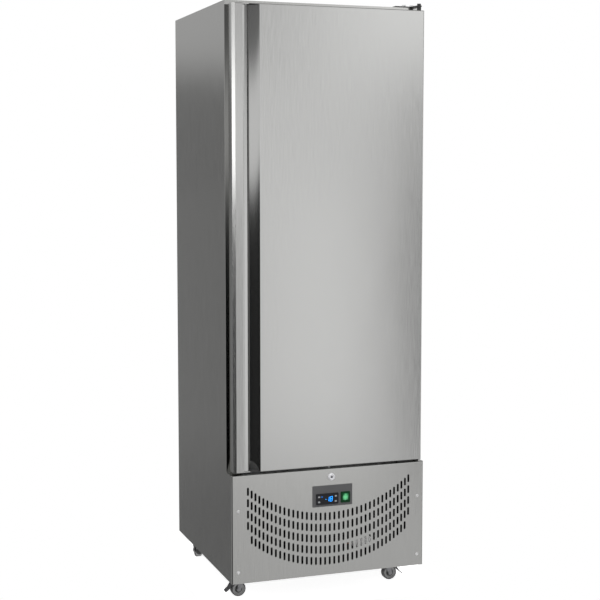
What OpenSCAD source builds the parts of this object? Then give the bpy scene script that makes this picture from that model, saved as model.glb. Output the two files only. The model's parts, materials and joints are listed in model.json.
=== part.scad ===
// Upright freezer on casters: an insulated cabinet over a machine base, with one hinged door.
// Millimetres. X to the right, Y to the back, Z up, origin on the floor under the middle.

/* [Cabinet] */
// Width over the side panels
cab_w = 680; // [640:5:740]
// Depth from the front of the base to the back
cab_d = 695; // [660:5:760]
// Height of the casing, without the casters
cab_h = 1886; // [1600:2:2000]
// Thickness of the casing's sheet
sheet_t = 1; // [0.8:0.1:1.4]
// Outside radius of the folded edges
fold_r = 3; // [2.5:0.5:5]
// Width of the side panels' front flanges
stile_w = 52; // [46:1:56]
// Height of the rails over and under the opening
rail_h = 52; // [46:1:56]
// Width of the side panels' folds at the back
back_fold_w = 20; // [14:1:30]
// Insulated thickness of the side walls, casing included
side_wall = 60; // [58:1:70]
// Insulated thickness of the top
top_wall = 60; // [58:1:80]
// Insulated thickness of the compartment's floor
floor_wall = 60; // [58:1:80]
// Insulated thickness of the back wall
back_wall = 65; // [55:1:80]
// Thickness of the inner liner
liner_t = 2; // [1.5:0.5:3]
// Depth of the plastic strips round the opening
throat_d = 6; // [4:1:10]

/* [Base] */
// Height of the machine base
base_h = 359; // [340:1:400]
// Radius of the front panel's upright edges
front_r = 5; // [3.5:0.5:8]
// Length of the front panel's side folds
front_fold = 15; // [12:1:20]
// Seam between the front panel and a side panel
seam = 0.5; // [0.3:0.1:1]
// Thickness of the base tray
tray_t = 2; // [1.5:0.5:3]
// Height of the base tray's rim
tray_rim = 25; // [15:1:40]
// Height of the rear grille's vents above the casing's bottom
vent_z = 130; // [110:1:140]

/* [Front slots] */
// Columns of slots on each side of the middle column
slot_half = 19; // [12:1:19]
// Rows of slots
slot_rows = 5; // [3:1:5]
// Width of a slot
slot_w = 7; // [4:0.5:8]
// Length of a slot
slot_l = 27; // [20:1:30]
// Distance between rows
row_pitch = 37.7; // [34:0.1:38]
// Step from column to column along the arc
slot_step = 16.33; // [14:0.01:16.6]
// Radius of the arc that the rows follow
slot_arc_r = 437; // [420:1:520]
// Middle of the top row above the casing's bottom, at the lowest column
slot_top = 198; // [190:1:205]

/* [Controls] */
// Width of the display plate
plate_w = 141; // [136:1:160]
// Height of the display plate
plate_h = 71; // [60:1:76]
// Thickness of the display plate
plate_t = 1.5; // [1:0.1:2.5]
// Middle of the display plate to the right of the cabinet's middle
plate_x = 9; // [0:1:20]
// Middle of the display plate above the casing's bottom
plate_z = 267.5; // [262:0.5:272]
// Width of the controller's bezel
bezel_w = 79; // [76:1:84]
// Height of the controller's bezel
bezel_h = 37; // [34:1:44]
// Thickness of the controller's bezel
bezel_t = 2.5; // [2:0.1:3]
// Middle of the controller to the left of the plate's middle
bezel_x = 19; // [17:1:24]
// Middle of the controller below the plate's middle
bezel_drop = 9.5; // [8:0.5:12]
// Width of the controller's body
ctrl_w = 70; // [60:1:72]
// Height of the controller's body
ctrl_h = 28.5; // [27:0.5:31]
// Depth of the controller's body
ctrl_d = 55; // [30:1:70]
// Width of a key
key_w = 7.5; // [5:0.5:9]
// Height of a key
key_h = 5; // [4:0.5:6]
// Distance between the two columns of keys
key_dx = 59; // [56:1:61]
// Distance between the two rows of keys
key_dz = 17; // [12:1:18]
// How far a key stands out of the bezel
key_proud = 0.8; // [0.6:0.1:1.2]
// Travel of a key
key_travel = 0.5; // [0.3:0.1:0.6]
// Width of the rocker's frame
rocker_frame_w = 33; // [28:1:36]
// Height of the rocker's frame
rocker_frame_h = 37; // [34:1:40]
// Middle of the rocker to the right of the plate's middle
rocker_x = 45.5; // [43:0.5:50]
// Middle of the rocker below the plate's middle
rocker_drop = 8; // [6:0.5:12]
// Width of the rocker
rocker_w = 20; // [16:1:21]
// Height of the rocker
rocker_h = 25; // [20:1:26]
// Tilt of the rocker to each side
rocker_tilt = 6; // [4:1:7]

/* [Lock] */
// Middle of the lock to the right of the cabinet's middle
lock_x = 5; // [0:1:20]
// Middle of the lock below the top of the base
lock_drop = 28; // [26:1:32]
// Radius of the lock's collar
lock_r = 12; // [11:0.5:14]
// How far the collar stands out
lock_proud = 6.5; // [5.5:0.5:8]
// Radius of the turning barrel
barrel_r = 6; // [5:0.5:7]
// Radius of the bolt
bolt_r = 4; // [3:0.5:5]
// Bolt's axis behind the front of the base
bolt_y = 22; // [21:1:26]
// Lift of the bolt over a quarter turn
bolt_lift = 9; // [8:0.5:10]
// How far the bolt stands above the base when it is open
bolt_rest = 4; // [2:0.5:5]

/* [Door] */
// Gap between the door's edge and the casing's side plane
door_side_gap = 8.7; // [7:0.1:10]
// Casing that shows above the door
door_top_gap = 14.3; // [13.5:0.1:18]
// Gap between the base and the door
door_base_gap = 7; // [7:0.5:10]
// Thickness of the door's steel pan
door_t = 46; // [42:1:56]
// Thickness of the closed gasket
gasket_t = 12; // [10:0.5:14]
// Width of the gasket
gasket_w = 18; // [14:1:20]
// Gasket's outer edge inside the door's edge
gasket_in = 12; // [11:0.5:14]
// Radius of the door's top, bottom and hinge side edges
door_r = 3; // [2:0.5:5]
// Radius of the handle pillar's outer edge
pillar_r = 9; // [6:0.5:12]
// Thickness of the door liner
door_liner_t = 2.5; // [2:0.5:3]
// Inset of the liner's raised middle
plateau_in = 62; // [60:1:80]
// Height of the liner's raised middle
plateau_t = 26; // [18:1:30]

/* [Handle] */
// Middle of the finger groove inside the door's edge
groove_x = 61.3; // [58:0.1:66]
// Radius of the finger groove
groove_r = 28; // [26:0.5:30]
// Groove's axis behind the door's front
groove_y = 2; // [1:0.5:3]
// Outside radius of the lip that curls over the groove
lip_r = 26; // [22:0.5:28]
// Turn of the lip
lip_turn = 70; // [50:1:75]
// Thickness of the hemmed lip
lip_t = 3; // [2:0.5:4]
// Lip's shortening at the top and the bottom
lip_trim = 6; // [4:0.5:8]
// Thickness of the groove's end caps
cap_t = 3; // [2:0.5:4]

/* [Hinges] */
// Hinge axis inside the casing's side plane
pin_in = 17; // [16:0.5:20]
// Hinge axis behind the door's front
pin_y = 25; // [23:0.5:26]
// Radius of the hinge pins
pin_r = 5; // [4:0.5:6]
// Length of a pin inside the door
pin_l = 17; // [12:1:20]
// Thickness of the top hinge plate
hinge_t = 4; // [3:0.5:6]
// Thickness of the bottom hinge plate
low_hinge_t = 3; // [2.5:0.5:3.5]
// Length of the hinge plates along the door
hinge_w = 80; // [70:1:100]
// Depth of the top plate on the casing
hinge_d = 46; // [40:1:60]
// Opening angle of the door
door_open = 110; // [60:1:120]

/* [Casters] */
// Height of a caster
caster_h = 70; // [68:1:76]
// Diameter of a wheel
wheel_d = 50; // [44:1:50]
// Width of a wheel
wheel_w = 22; // [18:1:24]
// Distance from the swivel axis to the axle
trail = 24; // [20:1:28]
// Side of a caster's plate
caster_plate = 60; // [56:1:70]
// Thickness of a caster's plate and fork
caster_t = 3; // [2:0.5:3]
// Front left swivel axis from the left side
caster_fl_x = 72; // [68:1:90]
// Front right swivel axis from the right side
caster_fr_x = 109; // [68:1:120]
// Front swivel axes from the front
caster_front_y = 95; // [90:1:120]
// Rear swivel axes from the sides
caster_rear_x = 41; // [38:1:60]
// Rear swivel axes from the back
caster_rear_y = 93; // [85:1:120]
// Turn of a brake pedal
brake_turn = 10; // [6:1:12]

/* [Shelves] */
// Number of shelves is fixed at four; distance between them
shelf_pitch = 240; // [200:5:250]
// Lowest shelf above the compartment's floor
shelf_first = 230; // [180:5:240]
// Radius of a shelf's frame rod
rod_r = 3; // [2.5:0.5:4]
// Radius of a shelf's thin wires
wire_r = 1.6; // [1.2:0.1:2]
// Distance between the thin wires
wire_pitch = 26; // [22:1:40]
// Width of a shelf rail
rail_w = 22; // [18:1:28]
// Thickness of a shelf rail
rail_t = 6; // [4:0.5:8]
// Distance between the rail's slots
rail_pitch = 40; // [30:5:60]
// Shelf's front edge behind the door liner
shelf_front = 20; // [10:1:40]

/* [Cooling] */
// Height of the evaporator's cover
evap_h = 170; // [165:1:200]
// Depth of the evaporator's cover
evap_d = 270; // [255:1:320]
// Radius of the evaporator fan
evap_fan_r = 62; // [50:1:64]
// Width of the condenser's block
cond_w = 300; // [270:1:320]
// Height of the condenser's block
cond_h = 220; // [180:1:225]
// Depth of the condenser's block
cond_d = 56; // [44:1:60]
// Distance between the condenser's fins
fin_pitch = 8; // [7:0.5:14]
// Radius of the refrigerant tubes
tube_r = 4.5; // [3.5:0.5:5]
// Radius of the compressor's can
comp_r = 78; // [66:1:84]
// Height of the compressor's can
comp_h = 190; // [160:1:210]

/* [Hidden] */
$fn = 48;

// Clearances
fit = 0.05;
gap = 0.3;
eps = 0.01;

// Rocker switch's section
rock_wall = 1.4;
rock_body_w = rocker_w + 2 * rock_wall + 2 * gap;
rock_body_h = rocker_h + 2 * rock_wall + 2 * gap;
rock_frame_t = 2;
rock_body_d = 22;
rock_pivot = 4;
rock_vee = 8;
rock_vee_y = rock_frame_t + 4.6;
rock_r = rocker_h / 2;
// How far the raised end stands out of the base front
rocker_out = plate_t - rock_pivot
    + rock_r * cos(acos(rock_vee_y * cos(rock_vee) / rock_r) - rock_vee - rocker_tilt);

// Main planes
x_left = -cab_w / 2;
x_right = cab_w / 2;
front_proud = max(lock_proud, plate_t + bezel_t + key_proud, rocker_out);
y_front = (front_proud - cab_d) / 2;
y_back = y_front + cab_d;
base_step = door_t + gasket_t;
y_cab = y_front + base_step;
z_bottom = caster_h;
z_base = z_bottom + base_h;
z_top = z_bottom + cab_h;

// Compartment, outside of the liner
in_x = cab_w / 2 - side_wall;
in_y = y_back - back_wall;
in_floor = z_base + floor_wall;
in_roof = z_top - top_wall;

// Door
door_x0 = x_left + door_side_gap;
door_x1 = x_right - door_side_gap;
door_z0 = z_base + door_base_gap;
door_z1 = z_top - door_top_gap;
pin_x = x_right - pin_in;
hinge_y = y_front + pin_y;
bush_r = door_x1 - sheet_t - gap - pin_x;
bush_rim = 2;

// Controls, in front of the base
plate_y = y_front - plate_t;
rock_pivot_y = plate_y + rock_pivot;
plate_mx = plate_x;
plate_mz = z_bottom + plate_z;
ctrl_x = plate_mx - bezel_x;
ctrl_z = plate_mz - bezel_drop;
rock_x = plate_mx + rocker_x;
rock_z = plate_mz - rocker_drop;
lock_z = z_base - lock_drop;
body_wall = 1.2;

// Ring-shaped and folded outlines

module rounded_rect(w, h, r) {
    translate([r, 0])
        square([w - 2 * r, h]);
    translate([0, r])
        square([w, h - 2 * r]);
    for (x = [r, w - r])
        for (y = [r, h - r])
            translate([x, y])
                circle(r);
}

module centred_rect(w, h, r) {
    translate([-w / 2, -h / 2])
        rounded_rect(w, h, r);
}

// Plan of the cabinet, drawn in by a distance
module cabinet_plan(inset) {
    translate([x_left + inset, y_cab + inset])
        rounded_rect(cab_w - 2 * inset, y_back - y_cab - 2 * inset, fold_r - inset);
}

module box(x0, x1, y0, y1, z0, z1) {
    translate([x0, y0, z0])
        cube([x1 - x0, y1 - y0, z1 - z0]);
}

// A cylinder along +Y from a point
module rod_y(x, y, z, r, l) {
    translate([x, y, z])
        rotate([-90, 0, 0])
            cylinder(r = r, h = l);
}

module rod_x(x, y, z, r, l) {
    translate([x, y, z])
        rotate([0, 90, 0])
            cylinder(r = r, h = l);
}

// An upright plate: a drawing in X and Z, pushed back along +Y
module upright(y, t) {
    translate([0, y + t, 0])
        rotate([90, 0, 0])
            linear_extrude(t)
                children();
}

// Cabinet shell

module left_panel_shape() {
    // web, front flange and back fold over the base
    translate([0, 0, z_base])
        linear_extrude(z_top - sheet_t - z_base)
            intersection() {
                difference() {
                    cabinet_plan(0);
                    cabinet_plan(sheet_t);
                }
                union() {
                    translate([x_left, y_cab])
                        square([stile_w, base_step]);
                    translate([x_left, y_cab])
                        square([fold_r, y_back - y_cab]);
                    translate([x_left, y_back - base_step])
                        square([back_fold_w, base_step]);
                }
            }
    // web and back fold beside the base, which reaches further forward
    translate([0, 0, z_bottom])
        linear_extrude(z_base - z_bottom) {
            translate([x_left, y_front + front_fold + seam])
                square([sheet_t, cab_d - front_fold - seam - fold_r]);
            intersection() {
                difference() {
                    cabinet_plan(0);
                    cabinet_plan(sheet_t);
                }
                translate([x_left, y_back - fold_r - eps])
                    square([back_fold_w, fold_r + 2 * eps]);
            }
        }
}

module side_panel_left() {
    color("lightgray")
        left_panel_shape();
}

module side_panel_right() {
    color("lightgray")
        mirror([1, 0, 0])
            left_panel_shape();
}

module top_panel() {
    color("lightgray")
        difference() {
            union() {
                translate([0, 0, z_top - sheet_t])
                    linear_extrude(sheet_t)
                        cabinet_plan(0);
                box(x_left + stile_w + gap, x_right - stile_w - gap, y_cab, y_cab + sheet_t,
                    z_top - rail_h, z_top - sheet_t / 2);
            }
            hinge_bolt_holes(top_bolts, z_top - sheet_t - 1, sheet_t + 2);
        }
}

module back_panel() {
    color("silver")
        box(x_left + fold_r, x_right - fold_r, y_back - 2 * sheet_t, y_back - sheet_t,
            z_base, z_top - sheet_t);
}

// Sheet under the insulated floor, with the rail under the opening
module bay_roof() {
    color("silver") {
        box(x_left + sheet_t, x_right - sheet_t, y_cab, y_back - 2 * sheet_t,
            z_base - sheet_t, z_base);
        box(x_left + stile_w + gap, x_right - stile_w - gap, y_cab, y_cab + sheet_t,
            z_base - sheet_t / 2, z_base + rail_h);
    }
}

tray_front = y_front + front_r + sheet_t;
module base_tray() {
    color("dimgray")
        difference() {
            box(x_left + sheet_t, x_right - sheet_t, tray_front, y_back - 2 * sheet_t,
                z_bottom, z_bottom + tray_rim);
            box(x_left + sheet_t + tray_t, x_right - sheet_t - tray_t, tray_front + tray_t,
                y_back - 2 * sheet_t - tray_t, z_bottom + tray_t, z_bottom + tray_rim + 1);
            for (c = caster_spots)
                for (sx = [-1, 1])
                    for (sy = [-1, 1])
                        translate([c[0] + sx * caster_bolt, c[1] + sy * caster_bolt, z_bottom - 1])
                            cylinder(r = caster_hole, h = tray_t + 2);
        }
}

vent_count = 8;
vent_w = 8;
vent_gap = 34;
module rear_grille() {
    vent_l = (cab_w - 2 * back_fold_w) / 3;
    color("dimgray")
        difference() {
            box(x_left + fold_r, x_right - fold_r, y_back - 2 * sheet_t, y_back - sheet_t,
                z_bottom, z_base - sheet_t);
            upright(y_back - 3 * sheet_t, 3 * sheet_t)
                for (i = [0 : vent_count - 1])
                    for (s = [-1, 1])
                        translate([s * vent_gap * 4, z_bottom + vent_z + i * 2.2 * vent_w])
                            centred_rect(vent_l, vent_w, vent_w / 2 - eps);
            upright(y_back - 3 * sheet_t, 3 * sheet_t)
                translate([inlet_x, inlet_z])
                    centred_rect(inlet_w + 2 * gap, inlet_h + 2 * gap, 3);
        }
}

module insulation() {
    color("khaki")
        difference() {
            translate([0, 0, z_base])
                linear_extrude(z_top - sheet_t - z_base)
                    intersection() {
                        cabinet_plan(sheet_t);
                        translate([x_left, y_cab])
                            square([cab_w, y_back - 2 * sheet_t - y_cab]);
                    }
            box(-in_x, in_x, y_cab - 1, in_y, in_floor, in_roof);
            throat_space(0);
            hinge_bolt_holes(top_bolts, z_top - bolt_len, bolt_len);
        }
}

module inner_liner() {
    color("whitesmoke")
        difference() {
            box(-in_x, in_x, y_cab + throat_d, in_y, in_floor, in_roof);
            box(-in_x + liner_t, in_x - liner_t, y_cab - 1, in_y - liner_t,
                in_floor + liner_t, in_roof - liner_t);
        }
}

// Frame-shaped room for the plastic strips round the opening
throat_x = cab_w / 2 - stile_w - gap;
throat_z0 = z_base + rail_h + gap;
throat_z1 = z_top - rail_h - gap;
module throat_space(cut) {
    difference() {
        box(-throat_x + cut, throat_x - cut, y_cab, y_cab + throat_d,
            throat_z0 + cut, throat_z1 - cut);
        box(-in_x + liner_t, in_x - liner_t, y_cab - 1, y_cab + throat_d + 1,
            in_floor + liner_t, in_roof - liner_t);
    }
}

// Four strips, mitred at the corners
module throat_strips() {
    mid_z = (throat_z0 + throat_z1) / 2;
    half_x = throat_x;
    half_z = (throat_z1 - throat_z0) / 2;
    color("gainsboro")
        difference() {
            throat_space(0);
            for (sx = [-1, 1])
                for (sz = [-1, 1])
                    translate([sx * half_x, y_cab - 1, mid_z + sz * half_z])
                        rotate([0, -sx * sz * 45, 0])
                            translate([-4 * side_wall, 0, -gap / 2])
                                cube([8 * side_wall, throat_d + 2, gap]);
        }
}

// Base front panel

// Middle of a slot, counted from the middle column, in X and height above the casing's bottom
function slot_turn(i) = i * slot_step / slot_arc_r * 180 / PI;
function slot_spot(i, row) = [
    slot_arc_r * sin(slot_turn(i)),
    slot_top + slot_arc_r * (1 - cos(slot_turn(i))) - row * row_pitch
];

module slot_shape() {
    translate([-slot_w / 2, -(slot_l - slot_w) / 2])
        square([slot_w, slot_l - slot_w]);
    for (s = [-1, 1])
        translate([0, s * (slot_l - slot_w) / 2])
            circle(slot_w / 2, $fn = 16);
}

module front_cutouts() {
    for (i = [-slot_half : slot_half])
        for (row = [0 : slot_rows - 1])
            if (abs(i) < slot_half || row < slot_rows - 1)
                translate([slot_spot(i, row)[0], z_bottom + slot_spot(i, row)[1]])
                    slot_shape();
    translate([ctrl_x, ctrl_z])
        centred_rect(ctrl_w + 2 * gap, ctrl_h + 2 * gap, 1);
    translate([rock_x, rock_z])
        centred_rect(rock_body_w + 2 * gap, rock_body_h + 2 * gap, 1);
    translate([lock_x, lock_z])
        circle(lock_body_r + gap);
    for (s = panel_screw_spots)
        translate([s[0], s[1]])
            circle(screw_r + gap);
}

// Room inside or outside the folded front panel, drawn in by a distance
module front_block(inset) {
    intersection() {
        translate([0, 0, z_bottom - 1])
            linear_extrude(base_h + 2)
                translate([x_left + inset, y_front + inset])
                    rounded_rect(cab_w - 2 * inset, 2 * base_step, front_r - inset);
        translate([x_left - 1, 0, 0])
            rotate([90, 0, 90])
                linear_extrude(cab_w + 2)
                    translate([y_front + inset, z_bottom - 2 * base_h])
                        rounded_rect(3 * base_step, 3 * base_h - inset, fold_r - inset);
        box(x_left, x_right, y_front, y_cab, z_bottom, z_base);
    }
}

module front_grille() {
    color("lightgray")
        difference() {
            front_block(0);
            front_block(sheet_t);
            box(x_left - 1, x_left + sheet_t + gap, y_front + front_fold, y_cab + 1,
                z_bottom - 1, z_base + 1);
            box(x_right - sheet_t - gap, x_right + 1, y_front + front_fold, y_cab + 1,
                z_bottom - 1, z_base + 1);
            upright(y_front - 1, sheet_t + 2)
                front_cutouts();
            translate([lock_x, y_front + bolt_y, z_base - 2 * sheet_t])
                cylinder(r = bolt_r + fit, h = 4 * sheet_t);
            hinge_bolt_holes(low_bolts, z_base - 2 * sheet_t, 4 * sheet_t);
        }
}

// Fasteners

screw_r = 2.5;
screw_head_r = 5.5;
screw_head_t = 2;
screw_in_x = 22;
screw_z_low = 38;
screw_z_high = 241;
panel_screw_spots = [for (x = [x_left + screw_in_x, x_right - screw_in_x])
    for (z = [z_bottom + screw_z_low, z_bottom + screw_z_high]) [x, z]];

module panel_screw() {
    // head on the panel, shank behind it
    rotate([90, 0, 0])
        rotate_extrude()
            polygon([[0, screw_head_t], [screw_head_r - 2, screw_head_t], [screw_head_r, 0.8],
                [screw_head_r, 0], [screw_r, 0], [screw_r, -12], [0, -12]]);
}

bolt_sr = 4;
bolt_len = 14;
nut_r = 7;
nut_t = 5;
caster_head_t = 3.5;
top_bolts = [[pin_x - 30, y_cab + hinge_d / 2], [pin_x - 2, y_cab + hinge_d / 2]];
low_bolts = [[pin_x - 52, y_front + 34], [pin_x - 28, y_front + 34]];

module hinge_bolt_holes(spots, z, l) {
    for (s = spots)
        translate([s[0], s[1], z])
            cylinder(r = bolt_sr + gap / 2, h = l);
}

module top_bolt() {
    cylinder(r = 8.5, h = 1.5);
    cylinder(r = 7.5, h = 7, $fn = 6);
    translate([0, 0, -bolt_len + 4])
        cylinder(r = bolt_sr, h = bolt_len - 4);
}

module low_bolt() {
    // countersunk, flush with the plate
    translate([0, 0, -low_hinge_t / 2])
        cylinder(r1 = bolt_sr, r2 = 7, h = low_hinge_t / 2);
    translate([0, 0, -bolt_len])
        cylinder(r = bolt_sr, h = bolt_len);
    // nut under the ledge
    translate([0, 0, -low_hinge_t - sheet_t - nut_t])
        cylinder(r = nut_r, h = nut_t, $fn = 6);
}

// Bolt through a caster's plate and the tray, head below and nut above
module caster_bolt_set() {
    translate([0, 0, caster_h - caster_t - caster_head_t])
        cylinder(r = caster_hole + 2.3, h = caster_head_t, $fn = 6);
    translate([0, 0, caster_h - caster_t - eps])
        cylinder(r = caster_hole - gap / 2, h = caster_t + tray_t + nut_t + 2);
    translate([0, 0, caster_h + tray_t])
        cylinder(r = caster_hole + 2.3, h = nut_t, $fn = 6);
}

module screws() {
    color("silver") {
        for (s = panel_screw_spots)
            translate([s[0], y_front, s[1]])
                panel_screw();
        for (s = top_bolts)
            translate([s[0], s[1], z_top + hinge_t])
                top_bolt();
        for (s = low_bolts)
            translate([s[0], s[1], z_base + low_hinge_t])
                low_bolt();
        for (c = caster_spots)
            for (sx = [-1, 1])
                for (sy = [-1, 1])
                    translate([c[0] + sx * caster_bolt, c[1] + sy * caster_bolt, 0])
                        caster_bolt_set();
    }
}

// Display plate, controller and keys

module display_plate() {
    color("dimgray")
        upright(plate_y, plate_t)
            difference() {
                translate([plate_mx, plate_mz])
                    centred_rect(plate_w, plate_h, 2);
                translate([ctrl_x, ctrl_z])
                    centred_rect(ctrl_w + 2 * gap, ctrl_h + 2 * gap, 1);
                translate([rock_x, rock_z])
                    centred_rect(rock_body_w + 2 * gap, rock_body_h + 2 * gap, 1);
            }
}

bezel_y = plate_y - bezel_t;
window_w = 46;
window_h = 26;
window_d = 0.6;
key_back = 2.5;
key_spots = [for (sx = [-1, 1]) for (sz = [1, -1])
    [ctrl_x + sx * key_dx / 2, ctrl_z + sz * key_dz / 2 - 0.5]];

module key_outline(grow) {
    centred_rect(key_w + 2 * grow, key_h + 2 * grow, (key_h + 2 * grow) / 2 - eps);
}

module controller() {
    color("black")
        difference() {
            union() {
                upright(bezel_y, bezel_t)
                    translate([ctrl_x, ctrl_z])
                        centred_rect(bezel_w, bezel_h, 3);
                upright(plate_y, ctrl_d)
                    translate([ctrl_x, ctrl_z])
                        centred_rect(ctrl_w, ctrl_h, 1);
            }
            upright(bezel_y - 1, window_d + 1)
                translate([ctrl_x, ctrl_z])
                    centred_rect(window_w, window_h, 1.5);
            for (s = key_spots)
                upright(bezel_y - 1, key_back + 1)
                    translate([s[0], s[1]])
                        key_outline(0.2);
        }
}

module key(i) {
    color("gray")
        upright(bezel_y - key_proud, key_proud + key_back - key_travel - gap)
            translate([key_spots[i][0], key_spots[i][1]])
                key_outline(0);
}

module key_1() {
    key(0);
}

module key_2() {
    key(1);
}

module key_3() {
    key(2);
}

module key_4() {
    key(3);
}

// Rocker switch

module rocker_frame() {
    color("darkgreen")
        difference() {
            union() {
                upright(plate_y - rock_frame_t, rock_frame_t)
                    translate([rock_x, rock_z])
                        centred_rect(rocker_frame_w, rocker_frame_h, 2.5);
                upright(plate_y, rock_body_d)
                    translate([rock_x, rock_z])
                        centred_rect(rock_body_w, rock_body_h, 1);
            }
            upright(plate_y - rock_frame_t - 1, rock_body_d + rock_frame_t - 1)
                translate([rock_x, rock_z])
                    centred_rect(rocker_w + 2 * gap, rocker_h + 2 * gap, 0.5);
            rod_x(rock_x - rocker_w / 2 - 1, rock_pivot_y, rock_z, 1.5 + fit, rocker_w + 2);
        }
}

// Drum with a shallow V in its face, tilted to rest on one side
module rocker() {
    color("lime")
        translate([rock_x - rocker_w / 2, rock_pivot_y, rock_z])
            rotate([rocker_tilt, 0, 0]) {
                difference() {
                    rotate([0, 90, 0])
                        cylinder(r = rock_r, h = rocker_w);
                    translate([-1, rock_pivot, -rocker_h])
                        cube([rocker_w + 2, rocker_h, 2 * rocker_h]);
                    for (s = [-1, 1])
                        translate([-1, -rock_vee_y, 0])
                            rotate([s * rock_vee, 0, 0])
                                translate([0, -rocker_h, s > 0 ? 0 : -rocker_h])
                                    cube([rocker_w + 2, rocker_h, rocker_h]);
                }
                translate([-0.9, 0, 0])
                    rotate([0, 90, 0])
                        cylinder(r = 1.5, h = rocker_w + 1.8);
            }
}

// Lock

lock_body_r = barrel_r + 3.5;
lock_tail = 12;
lock_bevel = 3;
cam_y = y_front + lock_tail + gap;
cam_t = 2;
crank = bolt_lift / sqrt(2);
crank_pin_r = 1.5;
guide_t = 12;
foot_y = y_front + bolt_y - 3;
foot_t = 4;
foot_h = 10;

module lock_housing() {
    color("lightsteelblue") {
        translate([lock_x, y_front, lock_z])
            rotate([90, 0, 0])
                rotate_extrude()
                    polygon([[barrel_r + fit, -lock_tail], [lock_body_r, -lock_tail],
                        [lock_body_r, 0], [lock_r, 0], [lock_r, lock_proud - lock_bevel],
                        [lock_r - lock_bevel, lock_proud], [barrel_r + 1.5, lock_proud],
                        [barrel_r + fit, lock_proud - 1.2]]);
        lock_nut();
        // guide of the bolt, under the ledge
        difference() {
            box(lock_x - 2 * bolt_r, lock_x + 2 * bolt_r, y_front + bolt_y - 2 * bolt_r + 2,
                y_front + bolt_y + 2 * bolt_r, z_base - sheet_t - guide_t, z_base - sheet_t);
            translate([lock_x, y_front + bolt_y, z_base - sheet_t - guide_t - 1])
                cylinder(r = bolt_r + fit, h = guide_t + 2);
        }
    }
}

// Nut that clamps the lock to the panel
module lock_nut() {
    difference() {
        rod_y(lock_x, y_front + sheet_t, lock_z, lock_body_r + 3.5, 4);
        rod_y(lock_x, y_front, lock_z, lock_body_r + eps, 8);
    }
}

module lock_barrel() {
    color("silver") {
        difference() {
            rod_y(lock_x, y_front - lock_proud + 1.5, lock_z, barrel_r,
                lock_tail + lock_proud - 1.5 + gap);
            box(lock_x - 0.8, lock_x + 0.8, y_front - lock_proud, y_front - lock_proud + 5,
                lock_z - 4, lock_z + 4);
        }
        rod_y(lock_x, cam_y, lock_z, crank + crank_pin_r + 1.5, cam_t);
        rod_y(lock_x + crank * cos(45), cam_y, lock_z - crank * sin(45), crank_pin_r,
            foot_y + foot_t - gap - cam_y);
    }
}

// Foot with a level slot for the crank pin, and the round bolt above it
module lock_bolt() {
    pin_z = lock_z - bolt_lift / 2;
    slot_half_h = crank_pin_r + 0.5;
    slot_end = crank_pin_r + 1;
    color("silver")
        difference() {
            union() {
                box(lock_x - crank - 4, lock_x + crank + 4, foot_y, foot_y + foot_t,
                    pin_z - foot_h / 2, pin_z + foot_h / 2);
                translate([lock_x, y_front + bolt_y, pin_z + slot_half_h + 1])
                    cylinder(r = bolt_r, h = z_base + bolt_rest - pin_z - slot_half_h - 1);
            }
            box(lock_x + crank * cos(45) - slot_end, lock_x + crank + slot_end, foot_y - 1,
                foot_y + foot_t + 1, pin_z - slot_half_h, pin_z + slot_half_h);
            // flat that lets the crank pin pass in front of the bolt
            box(lock_x - bolt_r - 1, lock_x + crank + slot_end, foot_y - bolt_r,
                foot_y - eps, pin_z, lock_z + crank + 2 * crank_pin_r + 1);
        }
}

// Hinges

pin_head_t = 6;
module hinge_plate(y0, y1, t) {
    // broad at the casing, round at the pin
    linear_extrude(t) {
        polygon([[pin_x + bush_r + 2, hinge_y], [pin_x + bush_r + 2, y1],
            [pin_x + bush_r + 2 - hinge_w, y1], [pin_x + bush_r + 2 - hinge_w, y0],
            [pin_x - bush_r - 10, y0], [pin_x - bush_r - 2, hinge_y]]);
        translate([pin_x, hinge_y])
            circle(bush_r + 2);
    }
}

module top_hinge() {
    color("black") {
        difference() {
            translate([0, 0, z_top])
                hinge_plate(y_cab, y_cab + hinge_d, hinge_t);
            hinge_bolt_holes(top_bolts, z_top - 1, hinge_t + 2);
        }
        translate([pin_x, hinge_y, door_z1 - pin_l])
            cylinder(r = pin_r, h = z_top - door_z1 + pin_l + hinge_t / 2);
        translate([pin_x, hinge_y, door_z1 + bush_rim + gap])
            cylinder(r = bush_r, h = door_top_gap - bush_rim - gap);
        translate([pin_x, hinge_y, z_top + hinge_t])
            cylinder(r = bush_r, h = pin_head_t, $fn = 6);
    }
}

module bottom_hinge() {
    color("black") {
        difference() {
            translate([0, 0, z_base])
                hinge_plate(y_front + 20, y_cab - gap, low_hinge_t);
            hinge_bolt_holes(low_bolts, z_base - 1, low_hinge_t + 2);
            for (s = low_bolts)
                translate([s[0], s[1], z_base + low_hinge_t / 2])
                    cylinder(r1 = bolt_sr + gap / 2, r2 = 7 + gap, h = low_hinge_t / 2 + eps);
        }
        translate([pin_x, hinge_y, z_base + low_hinge_t / 2])
            cylinder(r = pin_r, h = door_base_gap + pin_l - low_hinge_t / 2);
        translate([pin_x, hinge_y, z_base + low_hinge_t / 2])
            cylinder(r = bush_r, h = door_base_gap - bush_rim - gap - low_hinge_t / 2);
    }
}

// Door

door_w = door_x1 - door_x0;
door_h = door_z1 - door_z0;
groove_mx = door_x0 + groove_x;
groove_my = y_front + groove_y;
lip_x = groove_mx - groove_r + 1;
cap_in = 8;

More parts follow.
